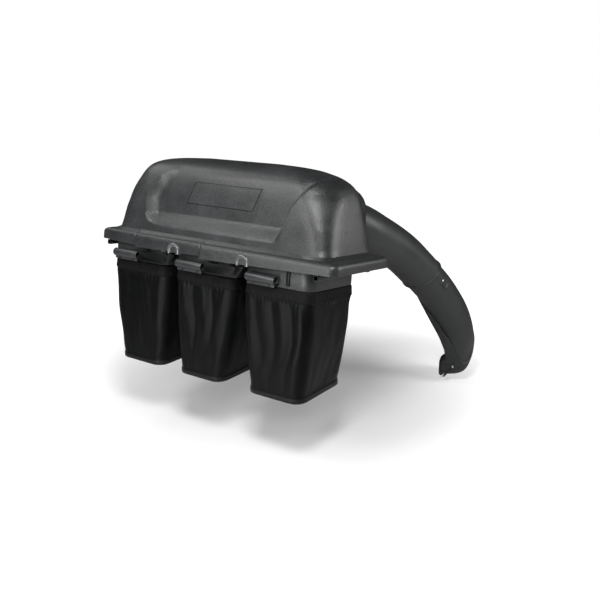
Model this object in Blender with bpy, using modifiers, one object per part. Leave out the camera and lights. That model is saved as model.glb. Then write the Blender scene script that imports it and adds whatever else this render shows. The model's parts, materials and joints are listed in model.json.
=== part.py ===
"""Triple bagger for a ride-on lawn tractor: one moulded hood over three soft bags, and the chute that
fills it. X is the tractor's right, Y its forward direction, Z up, and the origin is on the face of the
mounting plate. The hood, the collars and the frame under them are drawn in a rim frame (x, v, n), which
leans front down: v runs forward along the hood's rim from its rear edge and n runs up from it."""

import math

import bmesh
import bpy
import numpy as np
from mathutils import Matrix, Vector

# Where the rim frame sits
GAP = 0.0003
TILT = math.radians(6.14)
RIM_Y, RIM_Z = -0.489, 0.502

# Hood: outer half width and depth of the rim, walls
HOOD_HALF = 0.686
HOOD_DEPTH = 0.444
HOOD_WALL = 0.0035
# Each row of the hood: height, how far its sides, rear and front stand in, rear and front corner radius
HOOD_ROWS = (
    (0.0000, 0.0000, 0.0000, 0.0000, 0.022, 0.030),
    (0.0400, 0.0010, 0.0010, 0.0010, 0.022, 0.030),
    (0.0470, 0.0050, 0.0050, 0.0050, 0.022, 0.030),
    (0.0505, 0.0150, 0.0110, 0.0110, 0.024, 0.032),
    (0.0540, 0.0540, 0.0270, 0.0250, 0.060, 0.055),
    (0.0600, 0.0655, 0.0315, 0.0295, 0.065, 0.060),
    (0.0850, 0.0700, 0.0340, 0.0310, 0.070, 0.060),
    (0.1050, 0.0730, 0.0355, 0.0325, 0.075, 0.060),
    (0.1250, 0.0760, 0.0370, 0.0340, 0.080, 0.062),
    (0.1450, 0.0790, 0.0385, 0.0350, 0.085, 0.064),
    (0.1650, 0.0820, 0.0400, 0.0360, 0.090, 0.066),
    (0.2000, 0.0880, 0.0430, 0.0375, 0.105, 0.070),
    (0.2400, 0.0940, 0.0480, 0.0400, 0.120, 0.075),
    (0.2800, 0.1030, 0.0550, 0.0450, 0.140, 0.080),
    (0.3150, 0.1150, 0.0650, 0.0530, 0.155, 0.085),
    (0.3450, 0.1330, 0.0800, 0.0660, 0.148, 0.090),
    (0.3700, 0.1610, 0.1020, 0.0860, 0.127, 0.100),
    (0.3880, 0.2010, 0.1300, 0.1120, 0.100, 0.100),
    (0.4020, 0.2660, 0.1620, 0.1440, 0.068, 0.068),
    (0.4110, 0.3560, 0.1900, 0.1740, 0.039, 0.039),
    (0.4165, 0.4760, 0.2120, 0.1960, 0.017, 0.017),
)
INNER_ROWS = (0, 1, 3, 5, 7, 9, 11, 12, 13, 14, 15, 16, 17, 18, 19, 20)
# Recess in the hood's rear face: its depth, and its left and right edges as (height, x)
RECESS = 0.034
RECESS_LEFT = ((0.090, -0.33), (0.108, -0.396), (0.148, -0.421), (0.204, -0.423), (0.30, -0.36), (0.392, -0.277))
RECESS_RIGHT = ((0.090, 0.35), (0.121, 0.366), (0.198, 0.394), (0.269, 0.433), (0.336, 0.483), (0.389, 0.548))
# The rear lip is made of three pads with a step between each two
STEPS = (-0.443, -0.030)
# Arches over the latches: half width, and how far each stands right of its arm
ARCH_HALF = 0.037
ARCH_ASIDE = (0.046, 0.042)
ARCH_TOP = 0.031
ARCH_LOW = -0.0165
ARCH_OUT = 0.0175
ARCH_WALL = 0.006
# Opening for the chute in the hood's front wall, and the frame moulded round it
INLET_X, INLET_HALF = 0.440, 0.114
INLET_LOW, INLET_HIGH = 0.070, 0.328
INLET_RADIUS = 0.085
INLET_FRAME = 0.010
INLET_PROUD = 0.006
INLET_CUT = 0.144
SEAL_LIP = 0.004
SEAL_THICK = 0.004
SEAL_FLAP = 0.030

# Hinge axis of the hood, just ahead of its front lip, and where the two hinges stand
HINGE_V, HINGE_N = HOOD_DEPTH + 0.011, -0.002
HINGE_X = (-0.40, 0.12)
PIN_R = 0.003
PIN_PLAY = 0.0004
LEAF_HALF = 0.0125
CHEEK = 0.0035

# Bags: half width of each collar, the space between two, the centres, rear and front, top and foot
BAG_NAMES = ("left", "middle", "right")
COLLAR_HALF = 0.180
BAG_SPACE = 0.0485
BAG_MIDDLE = -0.029
BAG_PITCH = 2 * COLLAR_HALF + BAG_SPACE
BAG_X = (BAG_MIDDLE - BAG_PITCH, BAG_MIDDLE, BAG_MIDDLE + BAG_PITCH)
COLLAR_REAR, COLLAR_FRONT = 0.020, HOOD_DEPTH - 0.067
COLLAR_TOP, COLLAR_LOW = -0.003, -0.085
COLLAR_R = 0.050
COLLAR_WALL = 0.0035
FLANGE = 0.017
CLOTH = 0.0025
HEM = 0.050
HEM_OUT = 0.002
SWELL = 0.006
# Bag bottoms in the part's own frame: left and right edge of each, as shares of the collar's half width
# from its centre, then the rear and front edge, and the height
BOTTOM_REACH = ((-0.514, 1.008), (-0.650, 0.789), (-0.636, 0.947))
BOTTOM_X = tuple((x + a * COLLAR_HALF, x + b * COLLAR_HALF) for x, (a, b) in zip(BAG_X, BOTTOM_REACH))
BOTTOM_Y = (-0.547, -0.215)
BOTTOM_Z = -0.066
BOTTOM_R = 0.050
TRAY_HIGH = 0.022
TRAY_WALL = 0.003

# Grips
GRIP_R = 0.0187
GRIP_WALL = 0.003
GRIP_N, GRIP_V = -0.056, -0.004
GRIP_FROM, GRIP_TO = -0.140, 0.018

# Frame
ARM = 0.022
ARM_WALL = 0.002
ARM_N = -0.019
ARM_REAR = 0.014
ARM_PLAY = 0.0135
RAIL = 0.024
RAIL_V, RAIL_N = HOOD_DEPTH - 0.023, -0.0205
POST = 0.030
POST_X = 0.160
CROSS = 0.024
# Mounting plate: half width, lower and upper edge, thickness
PLATE = (0.200, -0.070, 0.090, 0.008)
PLATE_HOLE = 0.0055

# Latches
LATCH_V, LATCH_N = -0.004, -0.050
HANDLE_REACH = 0.170

# Chute: the centreline, the radius of each tube and the seam between them
CHUTE_PATH = (
    (0.4225, -0.140, 0.709),
    (0.434, 0.020, 0.631),
    (0.452, 0.194, 0.541),
    (0.470, 0.330, 0.469),
    (0.490, 0.439, 0.400),
    (0.512, 0.534, 0.322),
    (0.535, 0.622, 0.243),
    (0.558, 0.701, 0.166),
    (0.585, 0.774, 0.073),
    (0.605, 0.822, -0.005),
    (0.622, 0.852, -0.082),
    (0.634, 0.862, -0.145),
    (0.635, 0.863, -0.205),
    (0.635, 0.863, -0.265),
    (0.635, 0.863, -0.325),
)
UPPER_R, UPPER_INLET_R = 0.1035, 0.0900
LOWER_R = 0.0990
LOWER_END = 0.0800, 0.0880
CHUTE_WALL = 0.0028
SEAM = 5.93
OVERLAP = 0.5
RING = 24
UPPER_STATIONS = (0.0, 0.4, 0.8, 1.2, 1.6, 2.0, 2.5, 3.0, 3.5, 4.0, 4.5, 5.0, SEAM - OVERLAP, SEAM)
# The lower tube's mouth: a point on its plane and the way it faces
MOUTH = (0.630, 0.862, -0.050)
MOUTH_FACING = (-0.855, 0.362, -0.372)
# Boot: how much of the tube it takes in, its walls, the outlet at the deck as x, y, z and its half sizes
COLLAR_LAP = 0.35
BOOT_WALL = 0.0030
DECK = (0.575, 0.868, -0.297, 0.090, 0.045)
# How far its lines run on down the tube, and how far they reach for the outlet at its foot and its top
BOOT_DOWN = 0.14
BOOT_ASIDE = 0.12, 0.40
BOLT = (0.655, 0.772, -0.280)
BOSS = 0.0095


def material(name, colour, rough, metal=0.0):
    made = bpy.data.materials.new(name)
    made.use_nodes = True
    shader = made.node_tree.nodes["Principled BSDF"]
    shader.inputs["Base Color"].default_value = (*colour, 1.0)
    shader.inputs["Roughness"].default_value = rough
    shader.inputs["Metallic"].default_value = metal
    made.diffuse_color = (*colour, 1.0)
    return made


AXES = {
    "x": Matrix.Rotation(math.radians(90), 4, "Y"),
    "y": Matrix.Rotation(math.radians(-90), 4, "X"),
    "z": Matrix(),
}


def rim_matrix(origin=(0.0, 0.0, 0.0)):
    return Matrix.Translation((0, RIM_Y, RIM_Z)) @ Matrix.Rotation(-TILT, 4, "X") @ Matrix.Translation(origin)


def to_part(point):
    return rim_matrix() @ Vector(point)


def to_mesh(work):
    """Mesh from a bmesh, with its faces turned outwards and shaded smooth up to 35 degrees."""
    bmesh.ops.recalc_face_normals(work, faces=work.faces)
    mesh = bpy.data.meshes.new("shape")
    work.to_mesh(mesh)
    work.free()
    mesh.shade_smooth()
    mesh.set_sharp_from_angle(angle=math.radians(35))
    return mesh


def place(name, mesh, colour, origin=(0.0, 0.0, 0.0), rim=True):
    """Adds a piece whose mesh is drawn in the rim frame, or with rim False in the part's own."""
    mesh.transform(Matrix.Translation(-Vector(origin)))
    mesh.name = name
    mesh.materials.clear()
    mesh.materials.append(colour)
    piece = bpy.data.objects.new(name, mesh)
    piece.matrix_world = rim_matrix(origin) if rim else Matrix.Translation(origin)
    PARTS.objects.link(piece)
    return piece


def cut(target, mesh, rim=True, operation="DIFFERENCE"):
    tool = bpy.data.objects.new(target.name + "_tool", mesh)
    tool.matrix_world = rim_matrix() if rim else Matrix()
    tool.hide_render = True
    tool.display_type = "WIRE"
    CUTTERS.objects.link(tool)
    step = target.modifiers.new(operation.lower(), "BOOLEAN")
    step.operation = operation
    step.solver = "EXACT"
    step.object = tool


def join(target, mesh, rim=True):
    cut(target, mesh, rim, "UNION")


def thicken(piece, wall, offset=-1.0):
    """Gives an open surface a wall, on its inner side or with offset 1 on its outer side."""
    shell = piece.modifiers.new("wall", "SOLIDIFY")
    shell.thickness = wall
    shell.offset = offset
    shell.use_even_offset = True


def soften(piece, width):
    edges = piece.modifiers.new("edges", "BEVEL")
    edges.width = width
    edges.segments = 2
    edges.limit_method = "ANGLE"


def from_object(data, modifier=None, **settings):
    """Mesh that Blender makes from a curve, or from a mesh with one modifier."""
    helper = bpy.data.objects.new("helper", data)
    CUTTERS.objects.link(helper)
    if modifier:
        step = helper.modifiers.new("step", modifier)
        for key, value in settings.items():
            setattr(step, key, value)
    bpy.context.view_layer.update()
    made = bpy.data.meshes.new_from_object(helper.evaluated_get(bpy.context.evaluated_depsgraph_get()))
    bpy.data.objects.remove(helper, do_unlink=True)
    work = bmesh.new()
    work.from_mesh(made)
    bmesh.ops.remove_doubles(work, verts=work.verts, dist=0.00001)
    return to_mesh(work)


def block(x0, x1, y0, y1, z0, z1):
    work = bmesh.new()
    middle = Matrix.Translation(((x0 + x1) / 2, (y0 + y1) / 2, (z0 + z1) / 2))
    bmesh.ops.create_cube(work, size=1.0, matrix=middle @ Matrix.Diagonal((x1 - x0, y1 - y0, z1 - z0, 1.0)))
    return to_mesh(work)


def bar(axis, centre, radius, low, high, count=16):
    """Round bar along an axis, from low to high on it, through centre given on the other two."""
    work = bmesh.new()
    stand = Matrix.Translation((0, 0, (low + high) / 2))
    bmesh.ops.create_cone(
        work, cap_ends=True, segments=count, radius1=radius, radius2=radius, depth=high - low, matrix=stand
    )
    mesh = to_mesh(work)
    mesh.transform(Matrix.Translation(onto(axis, centre, 0.0)) @ AXES[axis])
    return mesh


def onto(axis, pair, along):
    """Point from a pair across an axis and a place along it."""
    a, b = pair
    return {"x": (along, a, b), "y": (a, along, b), "z": (a, b, along)}[axis]


def flat(outlines, axis, low, high, filled=True):
    """Flat outline, with holes if more than one is given, extruded along an axis from low to high."""
    curve = bpy.data.curves.new("outline", "CURVE")
    curve.dimensions = "2D"
    curve.fill_mode = "BOTH" if filled else "NONE"
    curve.extrude = (high - low) / 2
    for pairs in outlines:
        spline = curve.splines.new("POLY")
        spline.points.add(len(pairs) - 1)
        for point, (a, b) in zip(spline.points, pairs):
            point.co = (a, b, 0.0, 1.0)
        spline.use_cyclic_u = True
    mesh = from_object(curve)
    mesh.transform(Matrix.Translation((0, 0, (low + high) / 2)))
    upright = {
        "x": Matrix(((0, 0, 1), (1, 0, 0), (0, 1, 0))),
        "y": Matrix(((1, 0, 0), (0, 0, 1), (0, 1, 0))),
        "z": Matrix.Identity(3),
    }
    mesh.transform(upright[axis].to_4x4())
    if axis == "y":
        mesh.flip_normals()
    return mesh


def turned(profile, axis, centre, count=16):
    """Revolves (radius, along) pairs, given from the top down the outer side, about an axis through a point."""
    edges = bpy.data.meshes.new("profile")
    links = [(i, i + 1) for i in range(len(profile) - 1)]
    edges.from_pydata([(radius, 0.0, along) for radius, along in profile], links, [])
    mesh = from_object(
        edges, "SCREW", steps=count, render_steps=count, use_merge_vertices=True, merge_threshold=0.00001,
    )
    mesh.transform(Matrix.Translation(centre) @ AXES[axis])
    return mesh


def square_tube(name, path, side, colour, rim=True):
    """Square hollow tube with open ends: one rounded square in another, mitred where the path bends."""
    points = [Vector(p) for p in path]
    legs = [(b - a).normalized() for a, b in zip(points, points[1:])]
    across = Vector((0, 1, 0)) if abs(legs[0].x) > 0.5 else Vector((1, 0, 0))

    def rings(half, radius):
        result = []
        for i, point in enumerate(points):
            ahead, behind_it = legs[min(i, len(legs) - 1)], legs[max(i - 1, 0)]
            mitre = ahead + behind_it
            up = ahead.cross(across)
            ring = []
            for a, b in outline(-half, half, -half, half, radius, 2):
                off = a * across + b * up
                ring.append(point + off - ahead * (off.dot(mitre) / ahead.dot(mitre)))
            result.append(ring)
        return result

    outer = rings(side / 2, 0.003)
    inner = rings(side / 2 - ARM_WALL, 0.001)
    return place(name, loft(outer + inner[::-1], ends=False, closed=True), colour, rim=rim)


def loft(rings, ends=True, closed=False):
    """Surface between rings of equal count and unlike shape: its ends are filled, left open, or joined."""
    work = bmesh.new()
    rows = [[work.verts.new(p) for p in one] for one in rings]
    for low, high in zip(rows, rows[1:] + rows[:1] if closed else rows[1:]):
        for i, point in enumerate(low):
            j = (i + 1) % len(low)
            work.faces.new((point, low[j], high[j], high[i]))
    if ends:
        work.faces.new(reversed(rows[0]))
        work.faces.new(rows[-1])
    return to_mesh(work)


def outline(x0, x1, y0, y1, radius, segments=4, radius_far=None, near=(), far=(), side=()):
    """Rounded rectangle from the left end of its near side, anticlockwise, as (x, y) pairs. near, far and
    side are the extra points on the straight sides, as fractions from -1 to 1."""
    far_r = radius if radius_far is None else radius_far
    result = []
    middle, half = (x0 + x1) / 2, (x1 - x0) / 2

    def arc(cx, cy, r, start):
        for i in range(segments + 1):
            a = math.radians(start + 90 * i / segments)
            result.append((cx + r * math.cos(a), cy + r * math.sin(a)))

    def along_side(x, sign):
        low, high = y0 + radius, y1 - far_r
        for s in side if sign > 0 else reversed(side):
            result.append((x, (low + high) / 2 + s * (high - low) / 2))

    for s in near:
        result.append((middle + s * (half - radius), y0))
    arc(x1 - radius, y0 + radius, radius, -90)
    along_side(x1, 1)
    arc(x1 - far_r, y1 - far_r, far_r, 0)
    for s in far:
        result.append((middle + s * (half - far_r), y1))
    arc(x0 + far_r, y1 - far_r, far_r, 90)
    along_side(x0, -1)
    arc(x0 + radius, y0 + radius, radius, 180)
    return result


def circle(cx, cy, radius, count=16):
    return [
        (cx + radius * math.cos(2 * math.pi * i / count), cy + radius * math.sin(2 * math.pi * i / count))
        for i in range(count)
    ]


def hull(*groups):
    """Convex outline round all the pairs given."""
    points = sorted({p for group in groups for p in group})

    def half(order):
        chain = []
        for p in order:
            while len(chain) > 1 and (chain[-1][0] - chain[-2][0]) * (p[1] - chain[-2][1]) <= (
                chain[-1][1] - chain[-2][1]
            ) * (p[0] - chain[-2][0]):
                chain.pop()
            chain.append(p)
        return chain[:-1]

    return half(points) + half(points[::-1])


def smooth(t):
    t = min(max(t, 0.0), 1.0)
    return t * t * (3 - 2 * t)


def between(table, at):
    return float(np.interp(at, [row[0] for row in table], [row[1] for row in table]))


def recess_depth(x, n):
    """How far the hood's rear face is set back at a place: a sloping foot, and nothing left at the crown."""
    foot = min(max((n - 0.092) / 0.066, 0.0), 1.0)
    crown = 1 - smooth((n - 0.17) / 0.225)
    left = smooth((x - between(RECESS_LEFT, n)) / 0.058)
    right = smooth((between(RECESS_RIGHT, n) - x) / 0.022)
    return RECESS * foot * crown * left * right


def lip_shift(x, row):
    """The pads of the rear lip: how far they stand out, and how far their lower edge drops."""
    if x < STEPS[0]:
        t = (x + HOOD_HALF) / (STEPS[0] + HOOD_HALF)
        out, drop = 0.002 * t, 0.002 + 0.008 * t
    elif x < STEPS[1]:
        t = (x - STEPS[0]) / (STEPS[1] - STEPS[0])
        out, drop = 0.008 - 0.005 * t, 0.016 - 0.008 * t
    else:
        t = min((x - STEPS[1]) / (0.64 - STEPS[1]), 1.0)
        out, drop = 0.011 * (1 - t), 0.018 * (1 - t)
    return out, drop if row == 0 else 0.0


def hood_grid():
    """Outer surface of the hood as an array of rows, ring points and coordinates."""
    step = HOOD_HALF - HOOD_ROWS[0][4]
    near = sorted(
        [-0.95, -0.90, -0.85, -0.80, -0.75, -0.62, -0.50, -0.38, -0.26, -0.14]
        + [0.08, 0.20, 0.32, 0.44, 0.54, 0.62, 0.70, 0.76, 0.82, 0.88, 0.94]
        + [x / step + d for x in STEPS for d in (-0.001, 0.001)]
    )
    grid = []
    for row, (n, side, rear, front, r_rear, r_front) in enumerate(HOOD_ROWS):
        half = HOOD_HALF - side
        front = HOOD_DEPTH - front
        ring = []
        for x, v in outline(-half, half, rear, front, r_rear, 5, r_front, near, (0.6, 0.2, -0.2, -0.6), (0.0,)):
            height = n
            if row < 3 and v < rear + 0.5 * r_rear:
                out, drop = lip_shift(x, row)
                share = 1 - (v - rear) / (0.5 * r_rear)
                v -= out * share
                height -= drop * share
            if v < HOOD_DEPTH / 2:
                v += recess_depth(x, n)
            ring.append((x, v, height))
        grid.append(ring)
    return np.array(grid)


def hood_mesh():
    """The hood as a cup: the inner surface down to the lip, then the outer one up to the crown."""
    grid = hood_grid()
    around = np.roll(grid, -1, axis=1) - np.roll(grid, 1, axis=1)
    up = np.gradient(grid, axis=0)
    normal = np.cross(around, up)
    normal /= np.linalg.norm(normal, axis=2, keepdims=True)
    normal[0, :, 2] = 0
    normal[0] /= np.linalg.norm(normal[0], axis=1, keepdims=True)
    inner = grid - HOOD_WALL * normal
    return loft([inner[i] for i in reversed(INNER_ROWS)] + list(grid))


def inlet_outline(grow, drop=0.0):
    """Outline of the inlet in x and n, with its top edge lowered by drop."""
    return outline(
        INLET_X - INLET_HALF - grow, INLET_X + INLET_HALF + grow, INLET_LOW - grow, INLET_HIGH + grow - drop,
        INLET_RADIUS + grow, 6,
    )


def hood_front(n):
    """Where the hood's front wall stands at a height."""
    return HOOD_DEPTH - float(np.interp(n, [row[0] for row in HOOD_ROWS], [row[3] for row in HOOD_ROWS]))


def upper_ring(at, grow):
    """Section of the upper tube, which is narrower where it goes into the hood."""
    radius = UPPER_INLET_R + (UPPER_R - UPPER_INLET_R) * smooth((at - 0.6) / 1.2) + grow
    return chute_ring(at, radius, radius)


def behind(x):
    """How far the inlet frame reaches back into the hood's wall, which curves away on its right."""
    return -0.010 - 0.020 * smooth((x - INLET_X - INLET_HALF / 2) / 0.06)


def front_ring(rows):
    """Ring round the inlet that follows the hood's front wall. Each row is its outline and how far it stands
    before the wall, as a number or as a function of x."""
    work = bmesh.new()
    rings = []
    for pairs, proud in rows:
        ring = []
        for x, n in pairs:
            out = proud(x) if callable(proud) else proud
            ring.append(work.verts.new((x, hood_front(n) + out, n)))
        rings.append(ring)
    for low, high in zip(rings, rings[1:] + rings[:1]):
        for i, point in enumerate(low):
            j = (i + 1) % len(low)
            work.faces.new((point, low[j], high[j]))
            work.faces.new((point, high[j], high[i]))
    return to_mesh(work)


def arch_outline(centre, half, top):
    rise = half * 0.9
    arc = [
        (centre + half * math.cos(math.pi * i / 8), top - rise + rise * math.sin(math.pi * i / 8)) for i in range(9)
    ]
    return [(centre - half, ARCH_LOW), (centre + half, ARCH_LOW)] + arc


def make_hood():
    origin = (0.0, HINGE_V, HINGE_N)
    hood = place("hood_shell", hood_mesh(), MAT["hood"], origin)
    for centre in arch_places():
        inner = ARCH_HALF - ARCH_WALL
        join(hood, flat([arch_outline(centre, ARCH_HALF, ARCH_TOP)], "y", -ARCH_OUT, 0.0022))
        cut(hood, flat([arch_outline(centre, inner, ARCH_TOP - 2 * ARCH_WALL)], "y", 0.0035 - ARCH_OUT, -0.0006))
        cut(hood, block(centre - inner, centre + inner, 0.0035 - ARCH_OUT, -0.0006, 2 * ARCH_LOW, ARCH_LOW + 0.006))

    edge, rough = inlet_outline(INLET_FRAME), inlet_outline(-SEAL_LIP / 2)
    join(hood, front_ring([(edge, behind), (edge, INLET_PROUD), (rough, INLET_PROUD), (rough, behind)]))
    cut(hood, flat([inlet_outline(0.0)], "y", HOOD_DEPTH - INLET_CUT, HOOD_DEPTH + 0.016))
    back = INLET_PROUD + GAP
    front = back + SEAL_THICK
    lip = inlet_outline(-SEAL_LIP, SEAL_FLAP)
    seal = front_ring([(edge, back), (rough, back), (lip, back), (lip, front), (edge, front)])
    seal = place("hood_inlet_seal", seal, MAT["rubber"], origin)
    cut(seal, loft([upper_ring(at, GAP) for at in UPPER_STATIONS[:6]]), rim=False)
    for side, x in zip(("left", "right"), HINGE_X):
        make_hinge(side, x, origin)


def make_hinge(side, x, origin):
    """Leaf on the hood's front lip, bracket on the front rail, and the pin through both."""
    front = HOOD_DEPTH + GAP
    leaf = place(
        f"hood_hinge_leaf_{side}", block(x - 0.030, x + 0.030, front, front + 0.003, 0.004, 0.036), MAT["steel"], origin
    )
    half = LEAF_HALF
    join(leaf, block(x - half, x + half, front + 0.0004, HINGE_V - 0.002, HINGE_N - 0.003, 0.008))
    join(leaf, bar("x", (HINGE_V, HINGE_N), 0.0060, x - half, x + half))
    cut(leaf, bar("x", (HINGE_V, HINGE_N), PIN_R + PIN_PLAY, x - 2 * half, x + 2 * half))
    for dx in (-0.020, 0.020):
        head = [(0.0, 0.0032), (0.002, 0.0032), (0.0042, 0.0018), (0.0042, 0.0), (0.0, 0.0)]
        join(leaf, turned(head, "y", (x + dx, front + 0.0025, 0.022), 10))
    face = RAIL_V + RAIL / 2 + GAP
    bracket = place(
        f"hinge_bracket_{side}", block(x - 0.034, x + 0.034, face, face + 0.003, -0.032, -0.011), MAT["steel"]
    )
    cheek = LEAF_HALF + 0.0005
    for low in (x - cheek - CHEEK, x + cheek):
        foot = [(face + 0.0005, -0.030), (face + 0.0005, -0.013), (face + 0.003, -0.030)]
        join(bracket, flat([hull(foot, circle(HINGE_V, HINGE_N, 0.0062))], "x", low, low + CHEEK))
    cut(bracket, bar("x", (HINGE_V, HINGE_N), PIN_R + GAP, x - 0.05, x + 0.05))
    place(f"hinge_pin_{side}", pin_mesh((x, HINGE_V, HINGE_N), cheek + CHEEK), MAT["bright"])


def pin_mesh(centre, reach):
    """Pin along X with a flat head, long enough to pass cheeks that end at reach from its middle."""
    head = -reach - GAP
    profile = [
        (0.0, reach + 0.0025), (PIN_R - 0.001, reach + 0.0025), (PIN_R, reach + 0.0015), (PIN_R, head),
        (PIN_R + 0.002, head), (PIN_R + 0.002, head - 0.0015), (PIN_R + 0.001, head - 0.0025), (0.0, head - 0.0025),
    ]
    return turned(profile, "x", centre, 12)


def arm_places():
    """Where the four arms stand: in the gaps between the collars and outside the outer two."""
    half = COLLAR_HALF + ARM / 2 + ARM_PLAY
    return (BAG_X[0] - half, (BAG_X[0] + BAG_X[1]) / 2, (BAG_X[1] + BAG_X[2]) / 2, BAG_X[2] + half)


def arch_places():
    return [arm + aside for arm, aside in zip(arm_places()[1:3], ARCH_ASIDE)]


def make_frame():
    arms = arm_places()
    reach = RAIL_V - RAIL / 2 - GAP
    for name, x in zip(("outer_left", "inner_left", "inner_right", "outer_right"), arms):
        square_tube(f"arm_{name}", [(x, ARM_REAR, ARM_N), (x, reach, ARM_N)], ARM, MAT["frame"])
    ends = (arms[0] - ARM / 2, arms[3] + ARM / 2)
    square_tube("front_rail", [(ends[0], RAIL_V, RAIL_N), (ends[1], RAIL_V, RAIL_N)], RAIL, MAT["frame"])
    half, low, high, thick = PLATE
    holes = [circle(x, z, PLATE_HOLE, 12) for x in (-half + 0.125, half - 0.125) for z in (low + 0.03, high - 0.03)]
    sheet = flat([outline(-half, half, low, high, 0.012)] + holes, "y", -thick, 0.0)
    place("mount_plate", sheet, MAT["frame"], rim=False)
    under = RAIL_N - RAIL / 2
    top, knee = to_part((0, RAIL_V, under - GAP)), to_part((0, RAIL_V, under - 0.040))
    back = -thick - GAP - POST / 2
    for side, sign in (("left", -1), ("right", 1)):
        path = [(back, low), (back, high + 0.02), (knee.y, knee.z), (top.y, top.z)]
        square_tube(f"post_{side}", [(sign * POST_X, y, z) for y, z in path], POST, MAT["frame"], rim=False)
    middle = (high + 0.02 + knee.z) / 2
    depth = (back + knee.y) / 2
    inner = POST_X - POST / 2 - 2 * GAP
    square_tube("cross_tube", [(-inner, depth, middle), (inner, depth, middle)], CROSS, MAT["frame"], rim=False)


def make_latches():
    """Latch between each two bags: a bracket on the arm's end, and a lever with its handle plate on a pin."""
    arms = arm_places()
    for side, arm, centre in zip(("left", "right"), arms[1:3], arch_places()):
        origin = (arm, LATCH_V, LATCH_N)
        face = ARM_REAR - GAP
        bracket = place(
            f"latch_bracket_{side}", block(arm - 0.016, arm + 0.016, face - 0.003, face, -0.046, -0.0085), MAT["black"]
        )
        cheek = LEAF_HALF + 0.0005
        for low in (arm - cheek - CHEEK, arm + cheek):
            foot = [(face - 0.0004, -0.045), (face - 0.0004, -0.020), (face - 0.003, -0.020)]
            join(bracket, flat([hull(foot, circle(LATCH_V, LATCH_N, 0.0065, 14))], "x", low, low + CHEEK))
        cut(bracket, bar("x", (LATCH_V, LATCH_N), PIN_R + GAP, arm - 0.03, arm + 0.03))
        nose = centre - arm
        shape = [
            (-0.013, -0.0745), (0.017, -0.0745), (0.0215, -0.0705), (nose + 0.012, -0.0235), (nose + 0.009, -0.0200),
            (nose - 0.024, -0.0200), (nose - 0.027, -0.0230), (-0.0155, -0.0720),
        ]
        lever = place(
            f"latch_lever_{side}", flat([[(arm + x, n) for x, n in shape]], "y", -0.0175, -0.0115), MAT["lever"], origin
        )
        soften(lever, 0.0012)
        half = LEAF_HALF - 0.001
        join(lever, block(arm - half, arm + half, -0.0125, LATCH_V, LATCH_N - 0.005, LATCH_N + 0.005))
        join(lever, bar("x", (LATCH_V, LATCH_N), 0.0060, arm - half - 0.0003, arm + half + 0.0003))
        cut(lever, bar("x", (LATCH_V, LATCH_N), PIN_R + PIN_PLAY, arm - 0.03, arm + 0.03))
        stud = [(0.0, -0.0165), (0.0062, -0.0165), (0.0062, -0.0195), (0.0042, -0.0215), (0.0, -0.0215)]
        join(lever, turned(stud, "y", (arm + 0.004, 0.0, -0.0585), 14))
        left, right = arm - HANDLE_REACH, arm - 0.0160
        slope = (nose - 0.027 + 0.0155) / (0.0720 - 0.0230)
        lean = GAP * math.hypot(1.0, slope)
        beside = [(arm - 0.0155 - lean + slope * (n + 0.0720), n) for n in (-0.0700, -0.0280)]
        corners = [p for p in outline(left, right, -0.0740, -0.0280, 0.006) if p[0] < arm - 0.05]
        sheet = flat([hull(corners, [(arm - 0.0180, -0.0740)], beside)], "y", -0.0160, -0.0125)
        plate = place(f"latch_handle_{side}", sheet, MAT["black"], origin)
        soften(plate, 0.0010)
        join(plate, block(left + 0.004, right - 0.006, -0.0240, -0.0130, -0.0738, -0.0706))
        place(f"latch_pin_{side}", pin_mesh(origin, cheek + CHEEK), MAT["bright"])


def bag_outline(x0, x1, rear, front, radius):
    return outline(x0, x1, rear, front, radius, 4, None, (-0.33, 0.33), (0.33, -0.33), (-0.33, 0.33))


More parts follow.
